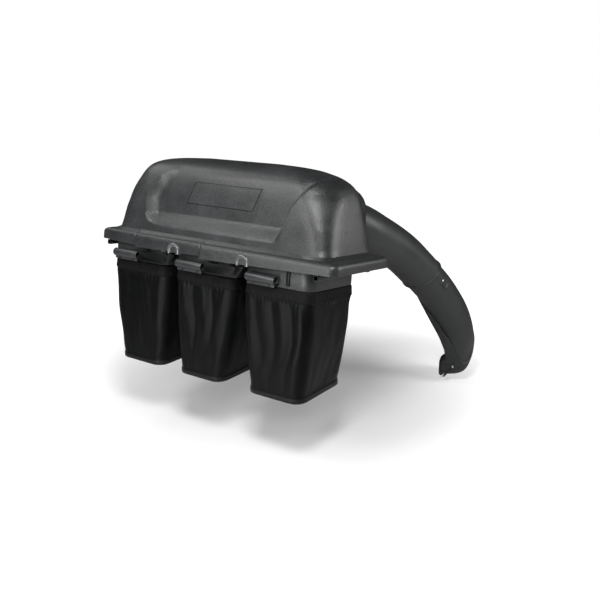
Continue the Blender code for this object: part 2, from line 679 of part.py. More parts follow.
def make_bags():
    for name, centre, (low_x0, low_x1) in zip(BAG_NAMES, BAG_X, BOTTOM_X):
        left, right = centre - COLLAR_HALF, centre + COLLAR_HALF

        def ring(inset, n):
            pairs = bag_outline(
                left + inset, right - inset, COLLAR_REAR + inset, COLLAR_FRONT - inset, COLLAR_R - inset
            )
            return [to_part((x, v, n)) for x, v in pairs]

        def bottom(grow, shape=outline):
            return shape(low_x0 - grow, low_x1 + grow, BOTTOM_Y[0] - grow, BOTTOM_Y[1] + grow, BOTTOM_R + grow)

        edge = bag_outline(left, right, COLLAR_REAR, COLLAR_FRONT, COLLAR_R)
        collar = place(f"bag_collar_{name}", flat([edge], "z", COLLAR_LOW, COLLAR_TOP, filled=False), MAT["hood"])
        thicken(collar, COLLAR_WALL)
        for x0, x1 in ((left - FLANGE, left + 0.002), (right - 0.002, right + FLANGE)):
            join(collar, block(x0, x1, 0.075, 0.325, ARM_N + ARM / 2 + GAP, COLLAR_TOP))

        # The cloth starts inside the collar, steps out to a hem under it and runs down to the tray.
        inside = COLLAR_WALL + GAP
        rings = [ring(inside, COLLAR_LOW + 0.022), ring(inside, COLLAR_LOW - 0.001)]
        rings += [ring(-HEM_OUT, COLLAR_LOW - 0.008), ring(-HEM_OUT, COLLAR_LOW - HEM)]
        rings += [ring(0.001, COLLAR_LOW - HEM - 0.004)]
        foot = BOTTOM_Z + TRAY_HIGH + 0.004
        for share in (0.3, 0.65, 1.0):
            rings.append([belly(a, b, foot, share) for a, b in zip(rings[4], bottom(0.0, bag_outline))])
        floor = BOTTOM_Z + TRAY_WALL + GAP
        cloth = place(
            f"bag_cloth_{name}", open_bag(rings + [[(x, y, floor) for x, y in bottom(0.0, bag_outline)]]), MAT["cloth"], rim=False
        )
        thicken(cloth, CLOTH)

        tray = place(
            f"bag_tray_{name}", flat([bottom(GAP + TRAY_WALL)], "z", BOTTOM_Z, BOTTOM_Z + TRAY_HIGH), MAT["tray"],
            rim=False,
        )
        soften(tray, 0.0012)
        cut(tray, flat([bottom(GAP)], "z", BOTTOM_Z + TRAY_WALL, BOTTOM_Z + 2 * TRAY_HIGH), rim=False)
        make_grip(name, centre)


def belly(top, base, foot, share):
    """Point of the cloth between its top ring and the tray: it swells a little on the way down."""
    low = Vector((base[0], base[1], foot))
    point = top.lerp(low, share)
    nearest = min(BOTTOM_X, key=lambda pair: abs(sum(pair) / 2 - base[0]))
    middle = Vector((sum(nearest) / 2, sum(BOTTOM_Y) / 2, 0))
    away = Vector((point.x - middle.x, point.y - middle.y, 0)).normalized()
    return point + away * SWELL * math.sin(math.pi * share)


def open_bag(rings):
    """Loft with its mouth open and its floor closed."""
    work = bmesh.new()
    work.from_mesh(loft(rings, ends=False))
    floor = min(v.co.z for v in work.verts) + 0.00001
    edge = [e for e in work.edges if e.is_boundary and all(v.co.z < floor for v in e.verts)]
    bmesh.ops.contextual_create(work, geom=edge)
    return to_mesh(work)


def make_grip(name, centre):
    """Handle tube on the rear of a collar, closed at its left end, its foot, its screws and the clip beside it."""
    rear = COLLAR_REAR - GAP
    x0, x1 = centre + GRIP_FROM, centre + GRIP_TO
    bore = GRIP_R - GRIP_WALL
    profile = [
        (0.0, 0.0), (GRIP_R - 0.004, 0.0), (GRIP_R, -0.004), (GRIP_R, x0 - x1 + 0.001), (GRIP_R - 0.001, x0 - x1),
        (bore, x0 - x1), (bore, -0.006), (0.0, -0.006),
    ]
    mesh = turned(profile, "x", (0, 0, 0), 20)
    mesh.transform(Matrix.Translation((x0, GRIP_V, GRIP_N)) @ Matrix.Rotation(math.pi, 4, "Z"))
    grip = place(f"bag_grip_{name}", mesh, MAT["grip"])
    join(grip, block(x0 + 0.008, x1 - 0.004, -0.0090, -0.0050, -0.0855, GRIP_N - GRIP_R + 0.0022))
    join(grip, block(x0 + 0.008, x1 - 0.004, -0.0060, rear, -0.0820, -0.0785))
    head = [(0.0, 0.0), (0.0040, 0.0), (0.0040, -0.0006), (0.0034, -0.0022), (0.0020, -0.0030), (0.0, -0.0030)]
    for i, x in enumerate((x0 + 0.040, x1 - 0.030)):
        place(f"grip_screw_{name}_{i + 1}", turned(head, "y", (x, -0.0090 - GAP, -0.0800), 12), MAT["bright"])
    rib = centre + 0.065
    clip = flat([outline(rib - 0.009, rib + 0.009, 0.0132, rear, 0.003, 2)], "z", -0.0740, -0.0060)
    soften(place(f"bag_clip_{name}", clip, MAT["black"]), 0.0008)


def chute_point(at):
    """Centre and forward direction on the chute's path, a smooth cubic whose points at counts."""
    points = [Vector(p) for p in CHUTE_PATH]
    points = [2 * points[0] - points[1]] + points + [i * (points[-1] - points[-2]) + points[-1] for i in (1, 2)]
    i = min(int(at), len(CHUTE_PATH) - 1)
    t = at - i
    a, b, c, d = points[i : i + 4]
    middle = 0.5 * (2 * b + (c - a) * t + (2 * a - 5 * b + 4 * c - d) * t * t + (3 * b - a - 3 * c + d) * t**3)
    ahead = 0.5 * ((c - a) + (4 * a - 10 * b + 8 * c - 2 * d) * t + (9 * b - 3 * a - 9 * c + 3 * d) * t * t)
    return middle, ahead.normalized()


def chute_ring(at, wide, deep, power=2.0):
    """Closed section across the chute: a circle at power 2, squarer above it."""
    middle, ahead = chute_point(at)
    across = Vector((1, 0, 0))
    across = (across - across.dot(ahead) * ahead).normalized()
    other = ahead.cross(across)
    ring = []
    for i in range(RING):
        a = 2 * math.pi * i / RING
        c, s = math.cos(a), math.sin(a)
        reach = (abs(c) ** power + abs(s) ** power) ** (-1 / power)
        ring.append(middle + across * (wide * c * reach) + other * (deep * s * reach))
    return ring


def chute_ring_point(at, index, grow):
    """Point of the lower tube's section at a place on the path."""
    t = smooth((at - 8.0) / 4.0)
    wide, deep = LOWER_END
    wide = LOWER_R + (wide - LOWER_R) * t
    deep = LOWER_R + (deep - LOWER_R) * t
    if at < SEAM + 0.01:
        wide = deep = UPPER_R - CHUTE_WALL - GAP
    return chute_ring(at, wide + grow, deep + grow, 2.0 + 0.8 * t)[index]


def mouth_places():
    """Where each line along the lower tube meets the plane of its mouth, as places on the path."""
    facing = Vector(MOUTH_FACING)
    found = []
    for index in range(RING):
        low, high = 6.4, len(CHUTE_PATH) + 0.9
        for _ in range(24):
            at = (low + high) / 2
            inside = (chute_ring_point(at, index, 0.0) - Vector(MOUTH)).dot(facing) < 0
            low, high = (at, high) if inside else (low, at)
        found.append((low + high) / 2)
    return found


def make_chute():
    rings = [upper_ring(at, 0.0) for at in UPPER_STATIONS]
    tube = place("chute_upper", loft(rings, ends=False), MAT["chute"], rim=False)
    thicken(tube, CHUTE_WALL)

    ends = mouth_places()
    start, count = SEAM + 0.2, 12
    rings = [[chute_ring_point(at, i, 0.0) for i in range(RING)] for at in (SEAM - OVERLAP, SEAM)]
    for k in range(count + 1):
        share = k / count
        rings.append([chute_ring_point(start + (end - COLLAR_LAP - start) * share, i, 0.0) for i, end in enumerate(ends)])
    rings.append([chute_ring_point(end, i, 0.0) for i, end in enumerate(ends)])
    tube = place("chute_lower", loft(rings, ends=False), MAT["chute"], rim=False)
    thicken(tube, CHUTE_WALL)
    make_adapter(ends)


def make_adapter(ends):
    """Boot over the chute's lower end, which turns the way of the air to the side of the mower deck."""
    lap = [chute_ring_point(end - COLLAR_LAP, i, GAP) for i, end in enumerate(ends)]
    mouth = [chute_ring_point(end, i, GAP) for i, end in enumerate(ends)]
    x, y, z, half_y, half_z = DECK
    square = 5.0
    outlet = []
    for i in range(RING):
        a = 2 * math.pi * i / RING
        c, s = math.cos(a), math.sin(a)
        reach = (abs(c) ** square + abs(s) ** square) ** (-1 / square)
        outlet.append(Vector((x, y - half_y * s * reach, z - half_z * c * reach)))
    rings = [lap, mouth]
    for t in (0.2, 0.4, 0.6, 0.8, 1.0):
        keep, down, reach, turn = 2 * t**3 - 3 * t * t + 1, t**3 - 2 * t * t + t, 3 * t * t - 2 * t**3, t**3 - t * t
        ring = []
        for i, (a, b) in enumerate(zip(mouth, outlet)):
            top = (1 - math.cos(2 * math.pi * i / RING)) / 2
            aside = BOOT_ASIDE[0] + (BOOT_ASIDE[1] - BOOT_ASIDE[0]) * top
            ring.append(a * keep + b * reach - Vector((aside * turn, 0.0, BOOT_DOWN * down)))
        rings.append(ring)
    boot = place("deck_adapter", loft(rings, ends=False), MAT["boot"], rim=False)
    thicken(boot, BOOT_WALL, 1.0)

    def edge(grow):
        return outline(y - half_y - grow, y + half_y + grow, z - half_z - grow, z + half_z + grow, 0.020 + grow, 4)

    join(boot, flat([edge(0.014), edge(0.0005)], "x", x, x + 0.004), rim=False)
    bolt_x, bolt_y, bolt_z = BOLT
    join(boot, bar("y", (bolt_x, bolt_z), 0.0100, bolt_y, bolt_y + BOSS), rim=False)
    foot = (bolt_x - 0.052, bolt_z - 0.066)
    strap = hull(circle(bolt_x, bolt_z, 0.0085, 14), circle(*foot, 0.0055, 12))
    holes = [circle(bolt_x, bolt_z, 0.0034, 12), circle(*foot, 0.0026, 10)]
    back = bolt_y - GAP
    place("adapter_strap", flat([strap] + holes, "y", back - 0.004, back), MAT["rubber"], rim=False)
    front = back - 0.004 - GAP
    head = [(0.0, back), (0.0030, back), (0.0030, front), (0.0068, front), (0.0062, front - 0.0027), (0.003, front - 0.0037), (0.0, front - 0.0037)]
    place("adapter_bolt", turned(head, "y", (bolt_x, 0.0, bolt_z), 14), MAT["bright"], rim=False)


PARTS = bpy.data.collections.new("triple_bagger")
CUTTERS = bpy.data.collections.new("cutters")
MAT = {}


def main():
    for old in list(bpy.data.objects):
        bpy.data.objects.remove(old, do_unlink=True)
    for group in (PARTS, CUTTERS):
        bpy.context.scene.collection.children.link(group)
    CUTTERS.hide_render = True
    MAT.update(
        hood=material("hood_plastic", (0.075, 0.075, 0.078), 0.55),
        grip=material("grip_plastic", (0.11, 0.11, 0.115), 0.5),
        chute=material("chute_plastic", (0.06, 0.061, 0.063), 0.5),
        boot=material("boot_plastic", (0.045, 0.046, 0.048), 0.5),
        cloth=material("bag_cloth", (0.018, 0.018, 0.019), 0.9),
        tray=material("tray_plastic", (0.03, 0.03, 0.032), 0.6),
        black=material("black_plastic", (0.012, 0.012, 0.013), 0.45),
        lever=material("lever_plastic", (0.09, 0.09, 0.095), 0.45),
        rubber=material("rubber", (0.01, 0.01, 0.01), 0.85),
        frame=material("black_painted_steel", (0.015, 0.015, 0.016), 0.4),
        steel=material("zinc_plated_steel", (0.45, 0.45, 0.44), 0.35, 1.0),
        bright=material("bright_steel", (0.6, 0.6, 0.6), 0.25, 1.0),
    )
    make_hood()
    make_frame()
    make_latches()
    make_bags()
    make_chute()


main()
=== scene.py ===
"""Looks of the triple bagger: a moulded hood over three cloth bags, with the chute that fills it.

Everything is in metres, in the CAD's frame: X to the right, Y forward, Z up. The hood, its collars and
its frame lean, so they are worked out in rim coordinates (x, v, n) and turned by lean()."""

import json
import math

import bmesh
import bpy
import numpy as np
from mathutils import Matrix, Vector


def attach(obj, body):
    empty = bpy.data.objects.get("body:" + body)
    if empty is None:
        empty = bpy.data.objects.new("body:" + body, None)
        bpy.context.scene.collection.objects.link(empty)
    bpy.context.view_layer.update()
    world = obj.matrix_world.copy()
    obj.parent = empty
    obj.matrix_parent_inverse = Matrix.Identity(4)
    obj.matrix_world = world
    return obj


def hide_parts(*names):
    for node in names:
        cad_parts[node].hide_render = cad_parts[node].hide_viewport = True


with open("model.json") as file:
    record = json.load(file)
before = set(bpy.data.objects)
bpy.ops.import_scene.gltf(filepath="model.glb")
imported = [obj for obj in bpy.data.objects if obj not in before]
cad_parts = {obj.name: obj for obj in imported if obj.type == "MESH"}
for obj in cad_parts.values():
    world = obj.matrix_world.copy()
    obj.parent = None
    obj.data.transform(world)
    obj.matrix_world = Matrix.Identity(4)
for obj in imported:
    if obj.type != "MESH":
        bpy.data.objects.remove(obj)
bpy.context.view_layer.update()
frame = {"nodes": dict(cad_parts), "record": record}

# Rim coordinates: v runs forward along the hood's rim and n runs up from it
TILT = math.radians(6.14)
RIM_Y, RIM_Z = -0.489, 0.502

# Hood
HOOD_HALF, HOOD_DEPTH, HOOD_WALL = 0.686, 0.444, 0.0035
# Height, how far the sides, the rear and the front stand in, rear and front corner radius
HOOD_ROWS = np.array([
    (0.0000, 0.0000, 0.0000, 0.0000, 0.030, 0.030),
    (0.0300, 0.0010, 0.0010, 0.0010, 0.030, 0.030),
    (0.0425, 0.0055, 0.0055, 0.0055, 0.030, 0.030),
    (0.0500, 0.0200, 0.0160, 0.0160, 0.032, 0.034),
    (0.0540, 0.0540, 0.0270, 0.0250, 0.060, 0.055),
    (0.0600, 0.0655, 0.0315, 0.0295, 0.065, 0.060),
    (0.0850, 0.0700, 0.0340, 0.0310, 0.070, 0.060),
    (0.1050, 0.0730, 0.0355, 0.0325, 0.075, 0.060),
    (0.1250, 0.0760, 0.0370, 0.0340, 0.080, 0.062),
    (0.1450, 0.0790, 0.0385, 0.0350, 0.085, 0.064),
    (0.1650, 0.0820, 0.0400, 0.0360, 0.090, 0.066),
    (0.2000, 0.0880, 0.0430, 0.0375, 0.105, 0.070),
    (0.2400, 0.0940, 0.0480, 0.0400, 0.120, 0.075),
    (0.2800, 0.1030, 0.0550, 0.0450, 0.140, 0.080),
    (0.3150, 0.1150, 0.0650, 0.0530, 0.155, 0.085),
    (0.3450, 0.1330, 0.0800, 0.0660, 0.148, 0.090),
    (0.3700, 0.1610, 0.1020, 0.0860, 0.127, 0.100),
    (0.3880, 0.2010, 0.1300, 0.1120, 0.100, 0.100),
    (0.4020, 0.2660, 0.1620, 0.1440, 0.068, 0.068),
    (0.4110, 0.3560, 0.1900, 0.1740, 0.039, 0.039),
    (0.4165, 0.4760, 0.2120, 0.1960, 0.017, 0.017),
])
# How deep the rear face is set back, and how wide the walls at its left and right are
RECESS, RECESS_FLANK, RECESS_EDGE = 0.034, 0.058, 0.022
RECESS_LEFT = np.array([
    (0.090, -0.330), (0.108, -0.396), (0.148, -0.421), (0.204, -0.423), (0.300, -0.360), (0.392, -0.277),
])
RECESS_RIGHT = np.array([
    (0.090, 0.350), (0.121, 0.366), (0.198, 0.394), (0.269, 0.433), (0.336, 0.483), (0.389, 0.548),
])
# How much of the recess is left at each height, so that its face runs into the crown without an edge
RECESS_FADE = np.array([
    (0.170, 1.00), (0.200, 0.97), (0.240, 0.89), (0.280, 0.77), (0.315, 0.63),
    (0.345, 0.43), (0.370, 0.24), (0.388, 0.10), (0.402, 0.0),
])
# Where the recess's sloping foot starts, and how high it is
RECESS_FOOT, RECESS_FOOT_HIGH = 0.092, 0.066
# Two fine creases run up the rear face from the lip to the crown: how far they stand out, how wide they are,
# and their lines as (height, x)
CREASE_OUT, CREASE_WIDE = 0.0022, 0.032
CREASES = (
    np.array([(0.058, -0.257), (0.200, -0.212), (0.294, -0.161), (0.369, -0.105), (0.410, -0.070)]),
    np.array([(0.064, 0.170), (0.212, 0.222), (0.322, 0.268), (0.389, 0.347), (0.410, 0.380)]),
)
# The plain panel on the rear face: its corners as (x, height)
PANEL = ((-0.191, 0.212), (0.194, 0.210), (0.232, 0.308), (-0.147, 0.311))
# The rear lip: the steps between its three pads, where the last pad ends, and the height of its side
STEPS, PAD_END, LIP_HIGH = (-0.443, -0.030), 0.64, 0.046
# How far each pad's lower edge stands out, and the depth and width of the groove at each step
PADS_LEAN, GROOVE_DEEP, GROOVE_WIDE = (-0.0050, 0.0020, 0.0095), 0.0040, 0.0035
# Columns on one corner, one side and the front of the hood, and how often its corners are softened
HOOD_COUNTS, SOFTENINGS = (13, 14, 44), 12
# Where the hood's columns stand at the crown, as shares of its rear side
CROWN_COLUMNS = (-0.70, -0.692, -0.66, -0.58, -0.20, -0.048, -0.040, 0.46, 0.74, 0.78)
# Columns between the hood's anchors on its rear face, and the last ones outside the recess
NEAR_COUNTS = (26, 3, 4, 12, 26, 26, 3, 30, 22, 12, 30)
NEAR_LEFT, NEAR_RIGHT = sum(NEAR_COUNTS[:3]) - 4, sum(NEAR_COUNTS[:10]) + 3
# The arches over the latches: their middles, half width, top, foot, and how far they stand out. Then the
# height of their round part, their bar's width, depth and corner radius, and how far in it and the web lie
ARCHES = (-0.187, 0.217)
ARCH_HALF, ARCH_TOP, ARCH_LOW, ARCH_OUT = 0.037, 0.033, -0.0165, 0.0175
ARCH_RISE, ARCH_BAR, ARCH_INSET, ARCH_WEB = ARCH_HALF * 0.9, (0.0205, 0.0205, 0.0085), 0.0102, 0.005
# The chute's opening in the hood's front wall, and the depths between which it is cut
INLET_X, INLET_HALF, INLET_LOW, INLET_HIGH = 0.440, 0.114, 0.070, 0.328
INLET_RADIUS, INLET_CUT = 0.085, (0.30, 0.46)
# Section of the rim round the opening: how far outside the opening, and how far out of the front wall
INLET_SECTION = (
    (0.010, -0.012), (0.010, 0.003), (0.0085, 0.0055), (0.006, 0.006), (0.001, 0.006), (0.0, 0.005),
    (0.0, -0.012),
)

# Bags: each one's name, its collar's middle, and the left and right side of its tray
BAGS = (
    ("left", -0.437, (-0.530, -0.256)),
    ("middle", -0.029, (-0.146, 0.113)),
    ("right", 0.380, (0.265, 0.550)),
)
# The collars' outline and lower edge, and the trays' outline, lower edge and height
COLLAR_HALF, COLLAR_REAR, COLLAR_FRONT, COLLAR_R = 0.180, 0.020, 0.377, 0.050
COLLAR_LOW = -0.085
BOTTOM_Y = (-0.547, -0.215)
BOTTOM_Z, BOTTOM_R, TRAY_HIGH = -0.066, 0.050, 0.022
# The hem's height, and the rings where it comes round the collar's edge: how far out, and at which height
HEM, CLOTH_WALL = 0.050, 0.0022
HEM_TOP = (
    (-0.0045, COLLAR_LOW + 0.020), (-0.0045, COLLAR_LOW - 0.0015), (-0.001, COLLAR_LOW - 0.0040),
    (0.0018, COLLAR_LOW - 0.0065),
)

# Chute
CHUTE_PATH = np.array([
    (0.4225, -0.140, 0.709), (0.434, 0.020, 0.631), (0.452, 0.194, 0.541), (0.470, 0.330, 0.469),
    (0.490, 0.439, 0.400), (0.512, 0.534, 0.322), (0.535, 0.622, 0.243), (0.558, 0.701, 0.166),
    (0.585, 0.774, 0.073), (0.605, 0.822, -0.005), (0.622, 0.852, -0.082), (0.634, 0.862, -0.145),
    (0.635, 0.863, -0.205), (0.635, 0.863, -0.265), (0.635, 0.863, -0.325),
])
UPPER_R, UPPER_INLET_R, LOWER_R, CHUTE_WALL = 0.1035, 0.0900, 0.0990, 0.0028
# The lower tube's half sizes at its mouth, where along the chute it starts to change, and over what length
LOWER_END, TAPER = (0.0800, 0.0880), (8.0, 4.0)
# The upper tube is cut off aslant: the place of its end, how much sooner and later it comes at two sides, and
# how far its rim stands out
SEAM, SEAM_SLANT, SEAM_RIM = 5.68, 0.25, 0.0042
# The plane that cuts off the lower tube, and the places along the chute between which it does
MOUTH = np.array((0.630, 0.862, -0.050))
MOUTH_FACING = np.array((-0.855, 0.362, -0.372))
MOUTH_BETWEEN = (6.4, 15.9)
# The adapter's wall and its gap to the tube; its outlet's centre, half length and half height; and how
# strongly its lines leave the mouth and reach the outlet
BOOT_WALL, BOOT_GAP = 0.0030, 0.0003
OUTLET = (0.575, 0.868, -0.297, 0.090, 0.045)
BOOT_DOWN, BOOT_ASIDE = 0.14, (0.12, 0.40)
# Where the lower tube's pocket and its snap button stand: place along the chute and angle round it
POCKET, BUTTON = (6.42, 0.04), (6.20, 0.02)
# The small plug in the hood's crown, as (x, v)
PLUG = (0.055, 0.192)


# Geometry


def lean(points):
    """Rim coordinates to the CAD's: a turn by TILT about X, and a shift to the rim's rear edge."""
    x, v, n = np.moveaxis(np.asarray(points, float), -1, 0)
    c, s = math.cos(TILT), math.sin(TILT)
    return np.stack([x, RIM_Y + v * c + n * s, RIM_Z - v * s + n * c], axis=-1)


def ease(t):
    """Smooth step from 0 to 1: 3t2 - 2t3 between the two."""
    t = np.clip(t, 0.0, 1.0)
    return t * t * (3 - 2 * t)


def curve_through(xs, ys, at):
    """Cubic through points that never overshoots: each slope is the harmonic mean of the two steps beside it,
    or 0 where they disagree."""
    xs, ys, at = np.asarray(xs, float), np.asarray(ys, float), np.asarray(at, float)
    step = np.diff(xs)
    rise = np.diff(ys) / step
    slope = np.zeros_like(ys)
    same = rise[:-1] * rise[1:] > 0
    total = rise[:-1] + rise[1:]
    slope[1:-1][same] = 2 * rise[:-1][same] * rise[1:][same] / total[same]
    slope[0], slope[-1] = rise[0], rise[-1]
    i = np.clip(np.searchsorted(xs, at) - 1, 0, len(step) - 1)
    t = (at - xs[i]) / step[i]
    return (
        (2 * t**3 - 3 * t**2 + 1) * ys[i] + (t**3 - 2 * t**2 + t) * step[i] * slope[i]
        + (3 * t**2 - 2 * t**3) * ys[i + 1] + (t**3 - t**2) * step[i] * slope[i + 1]
    )


def surface(name, points, around=True, caps=(), along=False, uv=None):
    """Mesh from a grid of points: rows by columns. around joins the last column to the first, along joins the
    last row to the first, and caps names the end rows (0 or -1) that are filled with one face."""
    rows, columns, _ = points.shape
    ids = np.arange(rows * columns).reshape(rows, columns)
    low = ids if along else ids[:-1]
    high = np.roll(ids, -1, axis=0) if along else ids[1:]
    if around:
        next_low, next_high = np.roll(low, -1, axis=1), np.roll(high, -1, axis=1)
    else:
        low, next_low, high, next_high = low[:, :-1], low[:, 1:], high[:, :-1], high[:, 1:]
    faces = np.stack([low, next_low, next_high, high], axis=-1).reshape(-1, 4).tolist()
    if 0 in caps:
        faces.append(ids[0][::-1].tolist())
    if -1 in caps:
        faces.append(ids[-1].tolist())
    mesh = bpy.data.meshes.new(name)
    mesh.from_pydata(points.reshape(-1, 3).tolist(), [], faces)
    if uv is not None:
        layer = mesh.uv_layers.new(name="cloth")
        flat = uv.reshape(-1, 2)
        corner = np.empty(len(mesh.loops), int)
        mesh.loops.foreach_get("vertex_index", corner)
        values = flat[corner]
        # A face across the join takes the far side's length instead of zero.
        width = flat[:, 0].max()
        starts, totals = (np.empty(len(mesh.polygons), int) for _ in range(2))
        mesh.polygons.foreach_get("loop_start", starts)
        mesh.polygons.foreach_get("loop_total", totals)
        first = values[np.repeat(starts, totals), 0]
        wrap = (np.repeat(totals, totals) == 4) & (np.abs(values[:, 0] - first) > width / 2)
        values[wrap, 0] += np.where(first[wrap] > width / 2, width, -width)
        layer.data.foreach_set("uv", values.ravel())
    piece = bpy.data.objects.new(name, mesh)
    bpy.context.scene.collection.objects.link(piece)
    return piece


def outwards(piece, sharp=38.0, merge=0.00002):
    """Merges doubles, turns the faces out, and shades smooth up to an angle."""
    work = bmesh.new()
    work.from_mesh(piece.data)
    if merge:
        bmesh.ops.remove_doubles(work, verts=work.verts, dist=merge)
    bmesh.ops.recalc_face_normals(work, faces=work.faces)
    work.to_mesh(piece.data)
    work.free()
    piece.data.shade_smooth()
    piece.data.set_sharp_from_angle(angle=math.radians(sharp))
    return piece


def apply_all(piece):
    """Replaces a piece's mesh with what its modifiers make."""
    bpy.context.view_layer.update()
    made = bpy.data.meshes.new_from_object(piece.evaluated_get(bpy.context.evaluated_depsgraph_get()))
    piece.modifiers.clear()
    piece.data = made
    return piece


def rounded_outline(half, rear, front, r_rear, r_front, counts, near, middle=0.0):
    """Rounded rectangle, one row for each entry of half, rear and the rest. near gives its columns on the
    near side and on the two arcs beside it, as lengths along them from the middle: a point past the straight
    turns through the angle of its length over the radius. Then come the other sides, anticlockwise."""
    arc, side, far = counts
    sizes = (half, rear, front, r_rear, r_front)
    half, rear, front, r_rear, r_front = (np.asarray(size, float)[:, None] for size in sizes)

    def corner(cx, cy, r, start):
        a = np.radians(start + np.linspace(0, 90, arc))[None, :]
        return np.stack([cx + r * np.cos(a), cy + r * np.sin(a)], axis=-1)

    def straight(x, sign):
        t = np.linspace(0, 1, side + 2)[1:-1][None, :]
        low, high = rear + r_rear, front - r_front
        t = t if sign > 0 else 1 - t
        return np.stack([x + 0 * t, low + (high - low) * t], axis=-1)

    flat_half = half - r_rear
    turn = np.clip(np.abs(near) - flat_half, 0, None) / r_rear
    near_x = np.sign(near) * (np.minimum(np.abs(near), flat_half) + r_rear * np.sin(turn))
    near_y = rear + r_rear * (1 - np.cos(turn))
    front_t = np.linspace(1, -1, far + 2)[1:-1][None, :]
    parts = [
        np.stack([near_x, near_y], axis=-1),
        straight(half, 1),
        corner(half - r_front, front - r_front, r_front, 0),
        np.stack([front_t * (half - r_front), front + 0 * front_t], axis=-1),
        corner(r_front - half, front - r_front, r_front, 90),
        straight(-half, -1),
    ]
    ring = np.concatenate(parts, axis=1)
    ring[..., 0] += middle
    return ring


def spread(anchors, counts):
    """Columns between the anchors of each row: straight steps, counts[i] of them in gap i."""
    columns = []
    for i, count in enumerate(counts):
        t = np.arange(count) / count
        columns.append(anchors[:, i : i + 1] * (1 - t) + anchors[:, i + 1 : i + 2] * t)
    return np.concatenate(columns + [anchors[:, -1:]], axis=1)


def hood_at(height, column):
    """One column of the hood's table at a height."""
    return curve_through(HOOD_ROWS[:, 0], HOOD_ROWS[:, column], height)


def line_at(line, n):
    """A line on the rear face, given as (height, x): its x at a height, on a smooth curve through them."""
    return curve_through(line[:, 0], line[:, 1], np.clip(n, line[0, 0], line[-1, 0]))


def flank(t):
    """A side wall's rise from 0 to 1: part straight, part smooth, so its edges are crisp but not sharp."""
    return 0.55 * np.clip(t, 0, 1) + 0.45 * ease(t)


def recess(x, n):
    """How far the rear face is set back: the product of a sloping foot, a side wall on the left, one on the
    right, and a fade to nothing at the crown. Each crease is a shallow fold, highest on its line, and falls
    off as e to the power of minus the distance from it."""
    foot = np.clip((n - RECESS_FOOT) / RECESS_FOOT_HIGH, 0, 1)
    foot = 0.45 * foot + 0.55 * ease(foot)
    crown = line_at(RECESS_FADE, n)
    left = 1 - (1 - np.clip((x - line_at(RECESS_LEFT, n)) / RECESS_FLANK, 0, 1)) ** 1.8
    right = flank((line_at(RECESS_RIGHT, n) - x) / RECESS_EDGE)
    depth = RECESS * foot * crown * left * right
    inside = left * right * ease((n - 0.05) / 0.03) * (1 - ease((n - 0.27) / 0.10))
    for crease in CREASES:
        away = np.abs(x - line_at(crease, n))
        depth = depth - CREASE_OUT * np.exp(-away / CREASE_WIDE) * inside
    return depth


def lip_pads(x):
    """The three pads of the rear lip: how far each place stands out and how far its lower edge drops. Both
    change evenly along each pad, and jump at the steps."""
    first, second = x < STEPS[0], x < STEPS[1]
    a = (x + HOOD_HALF) / (STEPS[0] + HOOD_HALF)
    b = (x - STEPS[0]) / (STEPS[1] - STEPS[0])
    c = np.clip((x - STEPS[1]) / (PAD_END - STEPS[1]), 0, 1)
    out = np.where(first, 0.002 * a, np.where(second, 0.008 - 0.005 * b, 0.011 * (1 - c)))
    drop = np.where(first, 0.002 + 0.008 * a, np.where(second, 0.016 - 0.008 * b, 0.018 * (1 - c)))
    return out, drop


def hood_columns(n, half, radius):
    """Where the hood's columns stand on its rear face, as lengths from its middle: some follow the recess's
    edges, the creases and the lip's steps at every height, so that each of those forms is crisp, and all
    move to fixed shares of the length towards the crown."""
    straight = (half - radius)[:, None]
    radius = radius[:, None]
    left, right = line_at(RECESS_LEFT, n), line_at(RECESS_RIGHT, n)
    creases = [line_at(crease, n) for crease in CREASES]
    steps = [np.full_like(n, x + d) for x in STEPS for d in (-0.002, 0.002)]
    near_left = [*steps[:2], left, left + RECESS_FLANK, creases[0]]
    near_right = [*steps[2:], creases[1], right - RECESS_EDGE, right]
    x = np.stack(near_left + near_right, axis=1)
    past = np.clip((np.abs(x) - straight) / radius, 0, 0.97)
    along = np.where(np.abs(x) > straight, np.sign(x) * (straight + radius * np.arcsin(past)), x)
    reach = straight + radius * math.pi / 2
    weight = ease((n - 0.33) / 0.055)[:, None]
    along = along * (1 - weight) + np.array([CROWN_COLUMNS]) * reach * weight
    return spread(np.concatenate([-reach, along, reach], axis=1), NEAR_COUNTS)


